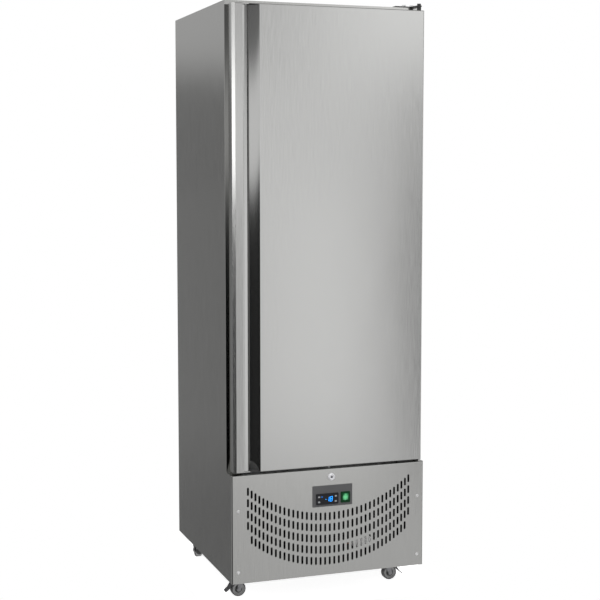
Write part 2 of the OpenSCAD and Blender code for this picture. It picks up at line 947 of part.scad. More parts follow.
// Plan of the door's pan, drawn in by a distance
module door_plan(inset) {
    left_r = pillar_r - inset;
    right_r = door_r - inset;
    x0 = door_x0 + inset;
    x1 = door_x1 - inset;
    y0 = y_front + inset;
    y1 = y_front + door_t;
    translate([x0 + left_r, y0])
        square([x1 - x0 - left_r - right_r, y1 - y0]);
    translate([x0, y0 + left_r])
        square([2 * left_r, y1 - y0 - left_r]);
    translate([x1 - 2 * right_r, y0 + right_r])
        square([2 * right_r, y1 - y0 - right_r]);
    translate([x0 + left_r, y0 + left_r])
        circle(left_r);
    translate([x1 - right_r, y0 + right_r])
        circle(right_r);
}

// Solid door pan with its finger groove, drawn in by a distance
module door_block(inset) {
    difference() {
        intersection() {
            translate([0, 0, door_z0 + inset])
                linear_extrude(door_h - 2 * inset)
                    door_plan(inset);
            translate([door_x0 - 1, 0, 0])
                rotate([90, 0, 90])
                    linear_extrude(door_w + 2)
                        translate([y_front + inset, door_z0 + inset])
                            rounded_rect(3 * door_t, door_h - 2 * inset, door_r - inset);
        }
        translate([groove_mx, groove_my, door_z0 - 1])
            cylinder(r = groove_r + inset, h = door_h + 2, $fn = 96);
    }
}

// Curled lip over the groove: a short flat root and an arc, over the room in the groove
module lip_plan() {
    translate([lip_x - 2, y_front])
        square([2 + eps, lip_t]);
    translate([lip_x, y_front + lip_r])
        intersection() {
            difference() {
                circle(lip_r, $fn = 96);
                circle(lip_r - lip_t, $fn = 96);
            }
            polygon([[0, 0], [0, -2 * lip_r], [2 * lip_r * tan(lip_turn / 2), -2 * lip_r],
                [2 * lip_r * sin(lip_turn), -2 * lip_r * cos(lip_turn)]]);
        }
    translate([lip_x + (lip_r - lip_t / 2) * sin(lip_turn),
        y_front + lip_r - (lip_r - lip_t / 2) * cos(lip_turn)])
        circle(lip_t / 2, $fn = 24);
}

strike_r = bolt_r + 0.8;
module door_skin() {
    color("gainsboro") {
        difference() {
            door_block(0);
            door_block(sheet_t);
            translate([lock_x, y_front + bolt_y, door_z0 - 1])
                cylinder(r = strike_r, h = sheet_t + 2);
            for (z = [door_z0 - 1, door_z1 - sheet_t - 1])
                translate([pin_x, hinge_y, z])
                    cylinder(r = bush_r + gap / 2, h = sheet_t + 2);
        }
    }
}

plateau_x0 = door_x0 + plateau_in;
plateau_x1 = door_x1 - plateau_in;
plateau_z0 = door_z0 + plateau_in;
plateau_z1 = door_z1 - plateau_in;
plateau_r = 10;

module plateau(inset, y0, y1) {
    upright(y0, y1 - y0)
        translate([plateau_x0 + inset, plateau_z0 + inset])
            rounded_rect(plateau_x1 - plateau_x0 - 2 * inset,
                plateau_z1 - plateau_z0 - 2 * inset, plateau_r - inset);
}

strike_depth = bolt_lift + bolt_rest - door_base_gap + 6;
module door_foam() {
    color("khaki")
        difference() {
            union() {
                intersection() {
                    door_block(sheet_t);
                    box(door_x0, door_x1, y_front, y_front + door_t - door_liner_t,
                        door_z0, door_z1);
                }
                plateau(door_liner_t, y_front + door_t - door_liner_t - eps,
                    y_front + door_t + plateau_t - door_liner_t);
            }
            translate([lock_x, y_front + bolt_y, door_z0])
                cylinder(r = strike_r, h = strike_depth);
            for (z = [door_z0, door_z1 - pin_l - 4])
                translate([pin_x, hinge_y, z])
                    cylinder(r = bush_r + gap / 2, h = pin_l + 4);
        }
}

module door_liner() {
    color("white")
        difference() {
            union() {
                box(door_x0 + sheet_t, door_x1 - sheet_t, y_front + door_t - door_liner_t,
                    y_front + door_t, door_z0 + sheet_t, door_z1 - sheet_t);
                plateau(0, y_front + door_t - eps, y_front + door_t + plateau_t);
            }
            plateau(door_liner_t, y_front + door_t - 2 * door_liner_t,
                y_front + door_t + plateau_t - door_liner_t);
        }
}

// Foot, bellows and magnet head of the gasket, each a frame
module gasket_layer(inset, w, y0, y1) {
    upright(y0, y1 - y0)
        difference() {
            translate([door_x0 + gasket_in + inset, door_z0 + gasket_in + inset])
                rounded_rect(door_w - 2 * (gasket_in + inset),
                    door_h - 2 * (gasket_in + inset), 4);
            translate([door_x0 + gasket_in + inset + w, door_z0 + gasket_in + inset + w])
                square([door_w - 2 * (gasket_in + inset + w),
                    door_h - 2 * (gasket_in + inset + w)]);
        }
}

module door_gasket() {
    y0 = y_front + door_t;
    color("dimgray") {
        gasket_layer(0, gasket_w, y0, y0 + 3);
        gasket_layer(gasket_w / 4, gasket_w / 2, y0 + 2.5, y_cab - 4);
        gasket_layer(gasket_w / 8, gasket_w * 3 / 4, y_cab - 4.5, y_cab - gap);
    }
}

// Leg of the grip strip, lying on the groove's wall
module leg_plan() {
    intersection() {
        difference() {
            translate([groove_mx, groove_my])
                circle(groove_r, $fn = 96);
            translate([groove_mx, groove_my])
                circle(groove_r - leg_t, $fn = 96);
        }
        translate([groove_mx - 2 * groove_r, y_front])
            square([2 * groove_r, leg_d]);
    }
}

// Grip strip with its curled lip, and plugs at the ends of the finger groove
leg_t = 1.5;
leg_d = 14;
module handle_strip() {
    color("gainsboro") {
        translate([0, 0, door_z0 + lip_trim])
            linear_extrude(door_h - 2 * lip_trim) {
                difference() {
                    lip_plan();
                    difference() {
                        door_plan(0);
                        translate([groove_mx, groove_my])
                            circle(groove_r, $fn = 96);
                    }
                }
                leg_plan();
            }
        for (z = [door_z0, door_z1 - cap_t])
            translate([0, 0, z])
                linear_extrude(cap_t)
                    intersection() {
                        translate([groove_mx, groove_my])
                            circle(groove_r, $fn = 96);
                        translate([groove_mx - groove_r, y_front + cap_in])
                            square([2 * groove_r, 2 * groove_r]);
                    }
    }
}

module door_bush() {
    difference() {
        union() {
            cylinder(r = bush_r, h = pin_l + 2);
            translate([0, 0, -bush_rim])
                cylinder(r = bush_r, h = bush_rim + 1);
        }
        translate([0, 0, -bush_rim - 1])
            cylinder(r = pin_r + fit, h = pin_l + bush_rim + 1 + gap);
    }
}

module door_bushes() {
    color("white") {
        translate([pin_x, hinge_y, door_z0])
            door_bush();
        translate([pin_x, hinge_y, door_z1])
            mirror([0, 0, 1])
                door_bush();
    }
}

// Shelves and their rails

liner_x = in_x - liner_t;
liner_back = in_y - liner_t;
liner_floor = in_floor + liner_t;
liner_roof = in_roof - liner_t;
shelf_x = liner_x - rail_t - 2;
shelf_y0 = y_front + door_t + plateau_t + shelf_front;
shelf_y1 = liner_back - 20;
rail_ys = [shelf_y0 + 40, shelf_y1 - 40 - rail_w];
rail_z0 = liner_floor + 60;
rail_z1 = liner_roof - evap_h - 20;
shelf_count = 4;
function shelf_z(i) = liner_floor + shelf_first + i * shelf_pitch;
clip_d = 14;
clip_t = 4;
clip_w = 10;
// Distance from a thin rod's middle to its flats
rod_flat = rod_r * cos(22.5);
wire_sink = 0.6;

// U-shaped strip with a row of slots; the open side lies on the wall
module shelf_rail() {
    slots = floor((rail_z1 - rail_z0 - 20) / rail_pitch);
    difference() {
        cube([rail_t, rail_w, rail_z1 - rail_z0]);
        translate([-1, 1.5, -1])
            cube([rail_t - 0.5, rail_w - 3, rail_z1 - rail_z0 + 2]);
        for (i = [0 : slots - 1])
            translate([rail_t - 3, rail_w / 2 - 4, 15 + i * rail_pitch])
                cube([4, 8, 5]);
    }
}

module shelf_rails() {
    color("silver")
        for (s = [0, 1])
            mirror([s, 0, 0]) {
                for (y = rail_ys)
                    translate([-liner_x, y, rail_z0])
                        shelf_rail();
                for (y = rail_ys)
                    for (i = [0 : shelf_count - 1])
                        translate([-liner_x + rail_t, y + rail_w / 2 - clip_w / 2,
                            shelf_z(i) - rod_flat - clip_t - gap])
                            cube([clip_d, clip_w, clip_t]);
            }
}

// Rod along X or Y with flat sides small enough to weld neatly
module thin_rod(p, axis, l, r) {
    translate(p)
        rotate(axis == "x" ? [0, 90, 0] : [-90, 0, 0])
            rotate(22.5)
                cylinder(r = r, h = l, $fn = 8);
}

module shelf(i) {
    z = shelf_z(i);
    wires = floor((2 * shelf_x - 4 * rod_r) / wire_pitch);
    color("whitesmoke") {
        for (y = [shelf_y0 + rod_r, (shelf_y0 + shelf_y1) / 2, shelf_y1 - rod_r])
            thin_rod([-shelf_x, y, z], "x", 2 * shelf_x, rod_r);
        for (s = [-1, 1])
            thin_rod([s * (shelf_x - rod_r), shelf_y0, z], "y", shelf_y1 - shelf_y0, rod_r);
        for (k = [-(wires - 1) / 2 : (wires - 1) / 2])
            thin_rod([k * wire_pitch, shelf_y0, z + rod_r + wire_r - wire_sink], "y",
                shelf_y1 - shelf_y0, wire_r);
    }
}

module shelf_1() {
    shelf(0);
}

module shelf_2() {
    shelf(1);
}

module shelf_3() {
    shelf(2);
}

module shelf_4() {
    shelf(3);
}

// Evaporator under the compartment's roof

evap_x = liner_x - 30;
evap_y0 = liner_back - evap_d;
evap_z0 = liner_roof - evap_h;
evap_fan_z = evap_z0 + evap_h / 2 - 4;
cover_t = 1.5;
coil_w = 2 * evap_x - 100;
coil_d = 110;
coil_h = evap_h - 40;
coil_z0 = liner_roof - coil_h;

module evaporator_cover() {
    color("white")
        difference() {
            box(-evap_x, evap_x, evap_y0, liner_back, evap_z0, liner_roof);
            box(-evap_x + cover_t, evap_x - cover_t, evap_y0 + cover_t, liner_back + 1,
                evap_z0 + cover_t, liner_roof + 1);
            upright(evap_y0 - 1, cover_t + 2)
                translate([0, evap_fan_z])
                    fan_guard(evap_fan_r + 4, 4);
            for (i = [-6 : 6])
                box(i * 32 - 5, i * 32 + 5, evap_y0 + 150, evap_y0 + 240,
                    evap_z0 - 1, evap_z0 + cover_t + 1);
        }
}

// Round opening with rings left standing across it, as four gaps in each ring
module fan_guard(r, rings) {
    step = (r - 14) / rings;
    for (i = [0 : rings - 1])
        difference() {
            circle(r - i * step);
            circle(r - (i + 1) * step + 2.5);
            for (a = [45, 135])
                rotate(a)
                    square([2 * r + 2, 3], center = true);
        }
}

fin_t = 0.8;
end_plate_t = 1.5;
tube_out = 12;
bell = 0.4;
bell_l = 2;

// Fins between two end plates, with rows of tubes whose belled ends hold return bends;
// the end plates reach down by the length of the legs
module finned_block(x0, y0, z0, w, d, h, pitch, rows, columns, legs) {
    fins = floor((w - 4 * end_plate_t) / pitch);
    start = (w - (fins - 1) * pitch - fin_t) / 2;
    for (i = [0 : fins - 1])
        translate([x0 + start + i * pitch, y0, z0])
            cube([fin_t, d, h]);
    for (x = [x0, x0 + w - end_plate_t])
        translate([x, y0 - 2, z0 - legs])
            cube([end_plate_t, d + 4, h + legs + 2]);
    for (c = [0 : columns - 1])
        for (r = [0 : rows - 1])
            rod_x(x0 - tube_out - bell_l, y0 + (c + 0.5) * d / columns,
                z0 + (r + 0.5) * h / rows, tube_r + bell, w + 2 * (tube_out + bell_l));
    for (c = [0 : columns - 1])
        for (r = [0 : rows - 2])
            translate([r % 2 == 0 ? x0 - tube_out : x0 + w + tube_out,
                y0 + (c + 0.5) * d / columns, z0 + (r + 1) * h / rows])
                rotate([0, 0, r % 2 == 0 ? 180 : 0])
                    return_bend(h / rows / 2);
}

module return_bend(r) {
    rotate([90, 0, 0])
        rotate([0, 0, -90])
            rotate_extrude(angle = 180, $fn = 32)
                translate([r, 0])
                    circle(tube_r, $fn = 24);
}

module evaporator() {
    color("silver")
        finned_block(-coil_w / 2, liner_back - coil_d - 10, coil_z0 - gap - 2, coil_w, coil_d,
            coil_h, 2 * fin_pitch, 4, 2, 2);
}

// Motor on three arms that reach a ring round the fan
module motor_on_arms(r, d, ring_r, l) {
    // along +Y, fan in front at y = 0
    rod_y(0, 0, 0, r, d);
    rod_y(0, d, 0, r * 0.7, d / 4);
    for (a = [90, 210, 330])
        rotate([0, a, 0]) {
            translate([0, d / 2 - 2, -3])
                cube([ring_r + 4, 4, 6]);
            translate([ring_r, -l + d / 2 - 2, -3])
                cube([4, l + 4, 6]);
        }
    // shaft
    rod_y(0, -shaft_l, 0, shaft_r, shaft_l + 1);
}

shaft_r = 3;
shaft_l = 26;
evap_motor_y = evap_y0 + cover_t + 32;

evap_motor_r = 26;
evap_motor_d = 34;
module evaporator_motor() {
    color("black")
        translate([0, evap_motor_y, evap_fan_z])
            motor_on_arms(evap_motor_r, evap_motor_d, evap_fan_r + 5,
                evap_motor_y - evap_y0 - cover_t + 15);
}

// Hub with tilted blades, all cut to one round outline; turns about Y
module fan(r, hub_r, depth, blades, pitch_angle) {
    difference() {
        union() {
            rod_y(0, 0, 0, hub_r, depth);
            intersection() {
                rod_y(0, 0, 0, r, depth);
                union()
                    for (i = [0 : blades - 1])
                        rotate([0, i * 360 / blades, 0])
                            translate([hub_r - 2, depth / 2, 0])
                                rotate([pitch_angle, 0, 0])
                                    translate([0, -0.8, -r * 0.33])
                                        cube([r, 1.6, r * 0.66]);
            }
        }
        rod_y(0, -1, 0, shaft_r + fit, depth + 2);
    }
}

fan_depth = 20;
module evaporator_fan() {
    color("gray")
        translate([0, evap_motor_y - fan_depth - 4, evap_fan_z])
            fan(evap_fan_r, 16, fan_depth, 5, 28);
}

// Machine bay

bay_z = z_bottom + tray_t;
cond_legs = 12;
cond_x0 = x_left + 72;
cond_y0 = plate_y + ctrl_d + 2 + 4 * gap;
cond_z0 = bay_z + cond_legs;
cond_mx = cond_x0 + cond_w / 2;
cond_mz = cond_z0 + cond_h / 2;
cond_fan_r = cond_h / 2 - 15;

module condenser() {
    color("dimgray") {
        finned_block(cond_x0, cond_y0, cond_z0, cond_w, cond_d, cond_h, fin_pitch, 6, 2,
            cond_legs);
        // foot flanges
        box(cond_x0 - 15, cond_x0, cond_y0 - 2, cond_y0 + cond_d + 2, bay_z, bay_z + end_plate_t);
        box(cond_x0 + cond_w, cond_x0 + cond_w + 15, cond_y0 - 2, cond_y0 + cond_d + 2,
            bay_z, bay_z + end_plate_t);
    }
}

shroud_y = cond_y0 + cond_d + 2;
shroud_d = 36;
module fan_shroud() {
    color("black")
        difference() {
            box(cond_x0, cond_x0 + cond_w, shroud_y, shroud_y + shroud_d, cond_z0 - 4,
                cond_z0 + cond_h);
            box(cond_x0 + 2, cond_x0 + cond_w - 2, shroud_y - 1, shroud_y + shroud_d - 2,
                cond_z0, cond_z0 + cond_h - 2);
            rod_y(cond_mx, shroud_y, cond_mz, cond_fan_r + 5, shroud_d + 1);
        }
}

cond_motor_y = shroud_y + shroud_d + 16;
cond_motor_r = 40;
cond_motor_d = 48;
module condenser_motor() {
    color("black")
        translate([cond_mx, cond_motor_y, cond_mz])
            motor_on_arms(cond_motor_r, cond_motor_d, cond_fan_r + 6,
                cond_motor_y - shroud_y - shroud_d + 22);
}

module condenser_fan() {
    color("silver")
        translate([cond_mx, cond_motor_y - fan_depth - 5, cond_mz])
            fan(cond_fan_r, 20, fan_depth, 5, 24);
}

comp_x = x_right - 160;
comp_y = y_front + cab_d * 0.62;
comp_foot = 18;
foot_dx = 75;
foot_dy = 55;
comp_z = bay_z + comp_foot;
stub_r = tube_r;

module compressor() {
    color("#202020") {
        translate([comp_x, comp_y, comp_z])
            rotate_extrude($fn = 64)
                polygon(concat([[0, 0]],
                    [for (a = [-90 : 15 : 0]) [comp_r - 30 + 30 * cos(a), 30 + 30 * sin(a)]],
                    [[comp_r + 3, comp_h * 0.55], [comp_r + 3, comp_h * 0.55 + 6]],
                    [for (a = [0 : 15 : 90])
                        [comp_r - 40 + 40 * cos(a), comp_h - 40 + 40 * sin(a)]],
                    [[0, comp_h]]));
        // mounting rail
        difference() {
            box(comp_x - foot_dx - 20, comp_x + foot_dx + 20, comp_y - foot_dy - 15,
                comp_y + foot_dy + 15, comp_z - 4, comp_z);
            for (sx = [-1, 1])
                for (sy = [-1, 1])
                    translate([comp_x + sx * foot_dx, comp_y + sy * foot_dy, comp_z - 5])
                        cylinder(r = 8, h = 6);
        }
        // terminal cover at the side
        box(comp_x - comp_r - 22, comp_x - comp_r + 12, comp_y - 26, comp_y + 26,
            comp_z + 40, comp_z + 100);
        // rubber feet
        for (sx = [-1, 1])
            for (sy = [-1, 1])
                translate([comp_x + sx * foot_dx, comp_y + sy * foot_dy, bay_z])
                    rotate_extrude($fn = 32)
                        polygon([[0, 0], [12, 0], [12, comp_foot - 4 - gap],
                            [8 - gap, comp_foot - 4 - gap], [8 - gap, comp_foot + gap],
                            [11, comp_foot + gap], [11, comp_foot + 4], [0, comp_foot + 4]]);
        // stubs
        translate([comp_x, comp_y - comp_r + 20, comp_z + comp_h - 16])
            cylinder(r = stub_r, h = 36);
        translate([comp_x, comp_y + comp_r - 20, comp_z + comp_h - 16])
            cylinder(r = stub_r, h = 36);
    }
}

drip_t = 2;
drip_x = x_left + 70;
drip_y = comp_y - 70;
drip_w = 260;
drip_d = 180;
drip_h = 45;
module drip_tray() {
    color("dimgray")
        difference() {
            box(drip_x, drip_x + drip_w, drip_y, drip_y + drip_d, bay_z, bay_z + drip_h);
            box(drip_x + drip_t, drip_x + drip_w - drip_t, drip_y + drip_t,
                drip_y + drip_d - drip_t, bay_z + drip_t, bay_z + drip_h + 1);
        }
}

// Tube through a list of points, with a ball fitting at each bend
module tube(points) {
    for (i = [0 : len(points) - 2]) {
        d = points[i + 1] - points[i];
        l = norm(d);
        translate(points[i])
            rotate([0, acos(d[2] / l), atan2(d[1], d[0])])
                cylinder(r = tube_r, h = l);
    }
    for (i = [1 : len(points) - 2])
        translate(points[i])
            sphere(tube_r + bell);
}

drier_r = 20;
drier_l = 80;
drier_x = cond_x0 + cond_w + 103;
drier_y = y_front + 46;
drier_z = bay_z + 84;
module refrigerant_pipes() {
    tube_top = comp_z + comp_h + 20 + gap;
    tube_y = cond_y0 + 0.75 * cond_d;
    tube_end = cond_x0 + cond_w + tube_out + bell_l + gap;
    cond_high = cond_z0 + 5.5 * cond_h / 6;
    cond_low = cond_z0 + 0.5 * cond_h / 6;
    run_z = tube_top + 40;
    color("peru") {
        // discharge line to the condenser's top tube
        tube([[comp_x, comp_y - comp_r + 20, tube_top], [comp_x, comp_y - comp_r + 20, run_z],
            [comp_x, tube_y, run_z], [tube_end + 40, tube_y, run_z],
            [tube_end + 40, tube_y, cond_high], [tube_end, tube_y, cond_high]]);
        // liquid line to the drier and on to the roof
        drier_in = drier_x - drier_l / 2 - 20;
        drier_out = drier_x + drier_l / 2 + 20;
        tube([[tube_end, tube_y, cond_low], [drier_in, tube_y, cond_low],
            [drier_in, drier_y, cond_low], [drier_in, drier_y, drier_z],
            [drier_x, drier_y, drier_z], [drier_out, drier_y, drier_z],
            [drier_out, drier_y, z_base - sheet_t - gap]]);
        translate([drier_x, drier_y, drier_z])
            rotate([0, 90, 0])
                rotate_extrude($fn = 32)
                    polygon([[0, -drier_l / 2], [tube_r + 2, -drier_l / 2],
                        [drier_r, 14 - drier_l / 2], [drier_r, drier_l / 2 - 14],
                        [tube_r + 2, drier_l / 2], [0, drier_l / 2]]);
        // suction line from the roof
        tube([[comp_x, comp_y + comp_r - 20, tube_top],
            [comp_x, comp_y + comp_r - 20, z_base - sheet_t - gap]]);
    }
}

ebox_w = 80;
ebox_d = 110;
ebox_h = 130;
ebox_x = x_right - 30 - ebox_w;
ebox_y = y_front + caster_front_y + caster_plate / 2 + 25;
module electrical_box() {
    color("lightgray") {
        box(ebox_x, ebox_x + ebox_w, ebox_y, ebox_y + ebox_d, bay_z, bay_z + ebox_h);
        // lid
        box(ebox_x - 3, ebox_x + ebox_w + 3, ebox_y - 3, ebox_y + ebox_d + 3,
            bay_z + ebox_h, bay_z + ebox_h + 10);
    }
}

inlet_x = x_left + 90;
inlet_z = z_base - 70;
inlet_w = 27;
inlet_h = 20;
module power_inlet() {
    // flush socket with three blades in its hollow
    pane = y_back - sheet_t;
    color("black") {
        difference() {
            union() {
                upright(pane - 20, 20 + eps)
                    translate([inlet_x, inlet_z])
                        centred_rect(inlet_w, inlet_h, 3);
                upright(pane, sheet_t)
                    translate([inlet_x, inlet_z])
                        centred_rect(inlet_w + 12, inlet_h + 8, 4);
            }
            upright(pane - 16, 20)
                translate([inlet_x, inlet_z])
                    centred_rect(inlet_w - 3, inlet_h - 3, 2);
        }
        for (p = [[-7, -2], [0, 3], [7, -2]])
            box(inlet_x + p[0] - 1, inlet_x + p[0] + 1, pane - 16.5, pane - 2,
                inlet_z + p[1] - 2, inlet_z + p[1] + 2);
    }
}

// Casters

caster_bolt = caster_plate / 2 - 9;
caster_hole = 3.2;
axle_z = wheel_d / 2;
race_t = 5;
race_r = 17;
crown_r = 19;
crown_top = caster_h - caster_t - race_t - gap;
king_r = 5;
leg_gap = 1.5;
leg_y = wheel_w / 2 + leg_gap;
axle_r = 3;
// Each caster: x, y, and the turn of its trail
caster_spots = [
    [x_left + caster_fl_x, y_front + caster_front_y, 180],
    [x_right - caster_fr_x, y_front + caster_front_y, 0],
    [x_left + caster_rear_x, y_back - caster_rear_y, -90],
    [x_right - caster_rear_x, y_back - caster_rear_y, -90]
];

module at_caster(i) {
    translate([caster_spots[i][0], caster_spots[i][1], 0])
        rotate([0, 0, caster_spots[i][2]])
            children();
}

module caster_plates() {
    color("silver")
        for (i = [0 : 3])
            at_caster(i) {
                translate([0, 0, caster_h - caster_t])
                    linear_extrude(caster_t)
                        difference() {
                            centred_rect(caster_plate, caster_plate, 8);
                            for (sx = [-1, 1])
                                for (sy = [-1, 1])
                                    translate([sx * caster_bolt, sy * caster_bolt])
                                        circle(caster_hole);
                        }
                translate([0, 0, caster_h - caster_t - race_t])
                    cylinder(r = race_r, h = race_t + caster_t / 2);
                translate([0, 0, crown_top - caster_t - gap - 3])
                    cylinder(r = king_r, h = caster_h - caster_t - crown_top + caster_t + 3);
                translate([0, 0, crown_top - caster_t - gap - 3])
                    cylinder(r = 8, h = 3);
            }
}

brake_x = trail + 21;
brake_z = axle_z + wheel_d / 2 - 3;
brake_pin_r = 2;

// Side view of a fork leg: from the crown down to the axle, with an ear for the brake
module leg_side(brake) {
    polygon([[2, crown_top], [trail - 2, crown_top], [trail + 7, axle_z], [trail - 7, axle_z]]);
    translate([trail, axle_z])
        circle(7);
    if (brake) {
        polygon([[2, crown_top], [trail - 2, crown_top], [brake_x + 3, brake_z + 3],
            [brake_x - 2, brake_z - 4], [4, crown_top - 6]]);
        translate([brake_x, brake_z])
            circle(4.5);
    }
}

module fork(i, brake) {
    color("silver")
        at_caster(i)
            difference() {
                union() {
                    translate([0, 0, crown_top - caster_t])
                        cylinder(r = crown_r, h = caster_t);
                    for (s = [-1, 1])
                        translate([0, s > 0 ? leg_y + caster_t : -leg_y, 0])
                            rotate([90, 0, 0])
                                linear_extrude(caster_t)
                                    leg_side(brake);
                    rod_y(trail, -leg_y - caster_t - 2, axle_z, axle_r, 2 * (leg_y + caster_t + 2));
                    for (s = [-1, 1])
                        rod_y(trail, s > 0 ? leg_y + caster_t - eps : -leg_y - caster_t - 2,
                            axle_z, 6, 2 + eps);
                    if (brake)
                        rod_y(brake_x, -leg_y - caster_t, brake_z, brake_pin_r,
                            2 * (leg_y + caster_t));
                }
                translate([0, 0, crown_top - caster_t - 1])
                    cylinder(r = king_r + fit, h = caster_t + 2);
            }
}

module fork_fl() {
    fork(0, true);
}

module fork_fr() {
    fork(1, true);
}

module fork_rl() {
    fork(2, false);
}

module fork_rr() {
    fork(3, false);
}

// Wheel with a rounded tread, a dished side and a hub
module wheel(i) {
    half = wheel_w / 2;
    rim = wheel_d / 2;
    color("gray")
        at_caster(i)
            translate([trail, 0, axle_z])
                rotate([90, 0, 0])
                    rotate_extrude($fn = 64)
                        polygon(concat(
                            [[axle_r + fit, -half - 0.8], [8, -half - 0.8], [8, -half + 3],
                                [rim - 8, -half + 3], [rim - 7, -half]],
                            [for (a = [-90 : 15 : 90]) [rim - 4 + 4 * cos(a),
                                sign(a) * (half - 4) + 4 * sin(a)]],
                            [[rim - 7, half], [rim - 8, half - 3], [8, half - 3],
                                [8, half + 0.8], [axle_r + fit, half + 0.8]]));
}

module wheel_fl() {
    wheel(0);
}

module wheel_fr() {
    wheel(1);
}

module wheel_rl() {
    wheel(2);
}

module wheel_rr() {
    wheel(3);
}

// Bent pedal on its pin, with a shoe that stands off the tread; its side is given from the axle
pedal_side = [[brake_x - trail - 2, brake_z - axle_z - 2], [brake_x - trail + 2, brake_z - axle_z + 2],
    [34, 6], [46, -4], [44.5, -6.5], [31, 4.5]];
module pedal(i) {
    width = 2 * leg_y - 2 * gap;
    lead = [trail - brake_x, axle_z - brake_z];
    // the shoe's tip comes to the tread when the pedal is down
    reach = norm(lead) - wheel_d / 2 - gap;
    shoe_turn = brake_turn + 10;
    color("dimgray")
        at_caster(i)
            translate([0, width / 2, 0])
                rotate([90, 0, 0])
                    difference() {
                        union() {
                            translate([brake_x, brake_z])
                                cylinder(r = 4, h = width);
                            linear_extrude(width)
                                translate([trail, axle_z])
                                    polygon(pedal_side);
                            linear_extrude(width)
                                translate([brake_x, brake_z])
                                    intersection() {
                                        circle(reach);
                                        rotate(atan2(lead[1], lead[0]) + shoe_turn)
                                            translate([0, -1.5])
                                                square([reach, 3]);
                                    }
                        }
                        translate([brake_x, brake_z, -1])
                            cylinder(r = brake_pin_r + fit, h = width + 2);
                    }
}

module pedal_fl() {
    pedal(0);
}

module pedal_fr() {
    pedal(1);
}

side_panel_left();
side_panel_right();
top_panel();
back_panel();
bay_roof();
base_tray();
rear_grille();
insulation();
inner_liner();
throat_strips();
front_grille();
screws();
display_plate();
controller();
key_1();
key_2();
key_3();
key_4();
rocker_frame();
rocker();
lock_housing();
lock_barrel();
lock_bolt();
top_hinge();
bottom_hinge();
evaporator();
evaporator_cover();
evaporator_motor();
evaporator_fan();
shelf_rails();
shelf_1();
shelf_2();
shelf_3();
shelf_4();
compressor();
condenser();
fan_shroud();
condenser_motor();
condenser_fan();
drip_tray();
refrigerant_pipes();
electrical_box();
power_inlet();
caster_plates();
fork_fl();
fork_fr();
fork_rl();
fork_rr();
wheel_fl();
wheel_fr();
wheel_rl();
wheel_rr();
pedal_fl();
pedal_fr();
door_skin();
door_foam();
door_liner();
door_gasket();
handle_strip();
door_bushes();
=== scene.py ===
"""Upright freezer: the looks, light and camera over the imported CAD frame, in metres."""
import json
import math

import bmesh
import bpy
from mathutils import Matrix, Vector


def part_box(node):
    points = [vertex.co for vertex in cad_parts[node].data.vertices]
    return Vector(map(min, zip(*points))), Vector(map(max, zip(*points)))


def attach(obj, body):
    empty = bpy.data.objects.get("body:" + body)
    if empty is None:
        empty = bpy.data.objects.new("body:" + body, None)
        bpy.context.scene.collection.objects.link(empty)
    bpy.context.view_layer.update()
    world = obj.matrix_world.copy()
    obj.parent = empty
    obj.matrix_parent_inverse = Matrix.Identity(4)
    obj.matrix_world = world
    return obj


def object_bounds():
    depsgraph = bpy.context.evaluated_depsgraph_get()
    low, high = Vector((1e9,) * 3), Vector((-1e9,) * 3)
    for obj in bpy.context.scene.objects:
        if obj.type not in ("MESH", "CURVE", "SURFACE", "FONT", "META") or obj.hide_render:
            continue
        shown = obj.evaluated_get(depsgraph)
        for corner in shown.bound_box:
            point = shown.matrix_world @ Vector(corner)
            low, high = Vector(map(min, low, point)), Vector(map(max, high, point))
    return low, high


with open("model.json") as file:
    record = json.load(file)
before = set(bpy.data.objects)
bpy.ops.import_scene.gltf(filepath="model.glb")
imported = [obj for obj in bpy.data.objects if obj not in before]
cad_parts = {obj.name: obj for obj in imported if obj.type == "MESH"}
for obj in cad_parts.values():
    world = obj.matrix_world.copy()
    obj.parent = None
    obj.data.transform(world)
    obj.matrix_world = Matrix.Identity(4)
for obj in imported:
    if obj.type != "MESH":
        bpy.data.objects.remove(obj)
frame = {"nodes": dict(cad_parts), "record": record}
NODES = frame["nodes"]
CAD_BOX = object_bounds()


def facing(turn, dip=0.0):
    """The direction at that turn, 0 behind, 0.25 left, 0.5 front, 0.75 right, dipping so far."""
    return (-math.sin(2 * math.pi * turn) * math.cos(dip),
            math.cos(2 * math.pi * turn) * math.cos(dip), -math.sin(dip))


# Places on the pieces, as boxes from their lowest to their highest corner

# The drier, clear of the tubes but for its ends, and the stretch of the riser painted black as
# shade of the machine bay
DRIER = ((0.094, -0.320, 0.134), (0.176, -0.276, 0.178))
RISER = ((0.180, -0.330, 0.110), (0.204, -0.200, 0.430))
# The casing's front edges round the door, darkened as painted shade of the gap there, and its
# inside in the machine bay, painted black as shade
RIM = ((-0.3410, -0.2870, 0.4292), (0.3410, -0.2842, 1.9417))
BAY = ((-0.3395, -0.34385, 0.0705), (0.3395, 0.3500, 0.4282))
# The finger groove behind the curled lip, with the plugs at its ends
GROOVE = ((-0.2760, -0.3445, 0.4362), (-0.2412, -0.3120, 1.9415))
PLUGS = ((-0.2745, -0.3445, 0.4360), (-0.2405, -0.3110, 1.9420))
# The fold on the door's left edge
DOOR_FOLD = ((-0.3320, -0.3450, 0.4362), (-0.3226, -0.3352, 1.9415))
# The pillar beside the groove: its left and right edges, and how far its sheet rises between
PILLAR = (-0.3313, -0.2985, 0.0018)
# Radius of the disc of painted shade in the key's slot
KEYHOLE_SHADE_R = 0.0038
# The wheel's moulded rim and its hub, as shares of the tyre's radius
WHEEL_RIM, WHEEL_HUB = 0.80, 0.52

# Where the normals of the groove and rim turn, and those of the fold, and the weight of that
# direction beside the surface's own
TO_PANEL = facing(0.446, 0.35)
TO_SLIT = facing(0.376)
BEND_WEIGHT = 20


# Materials

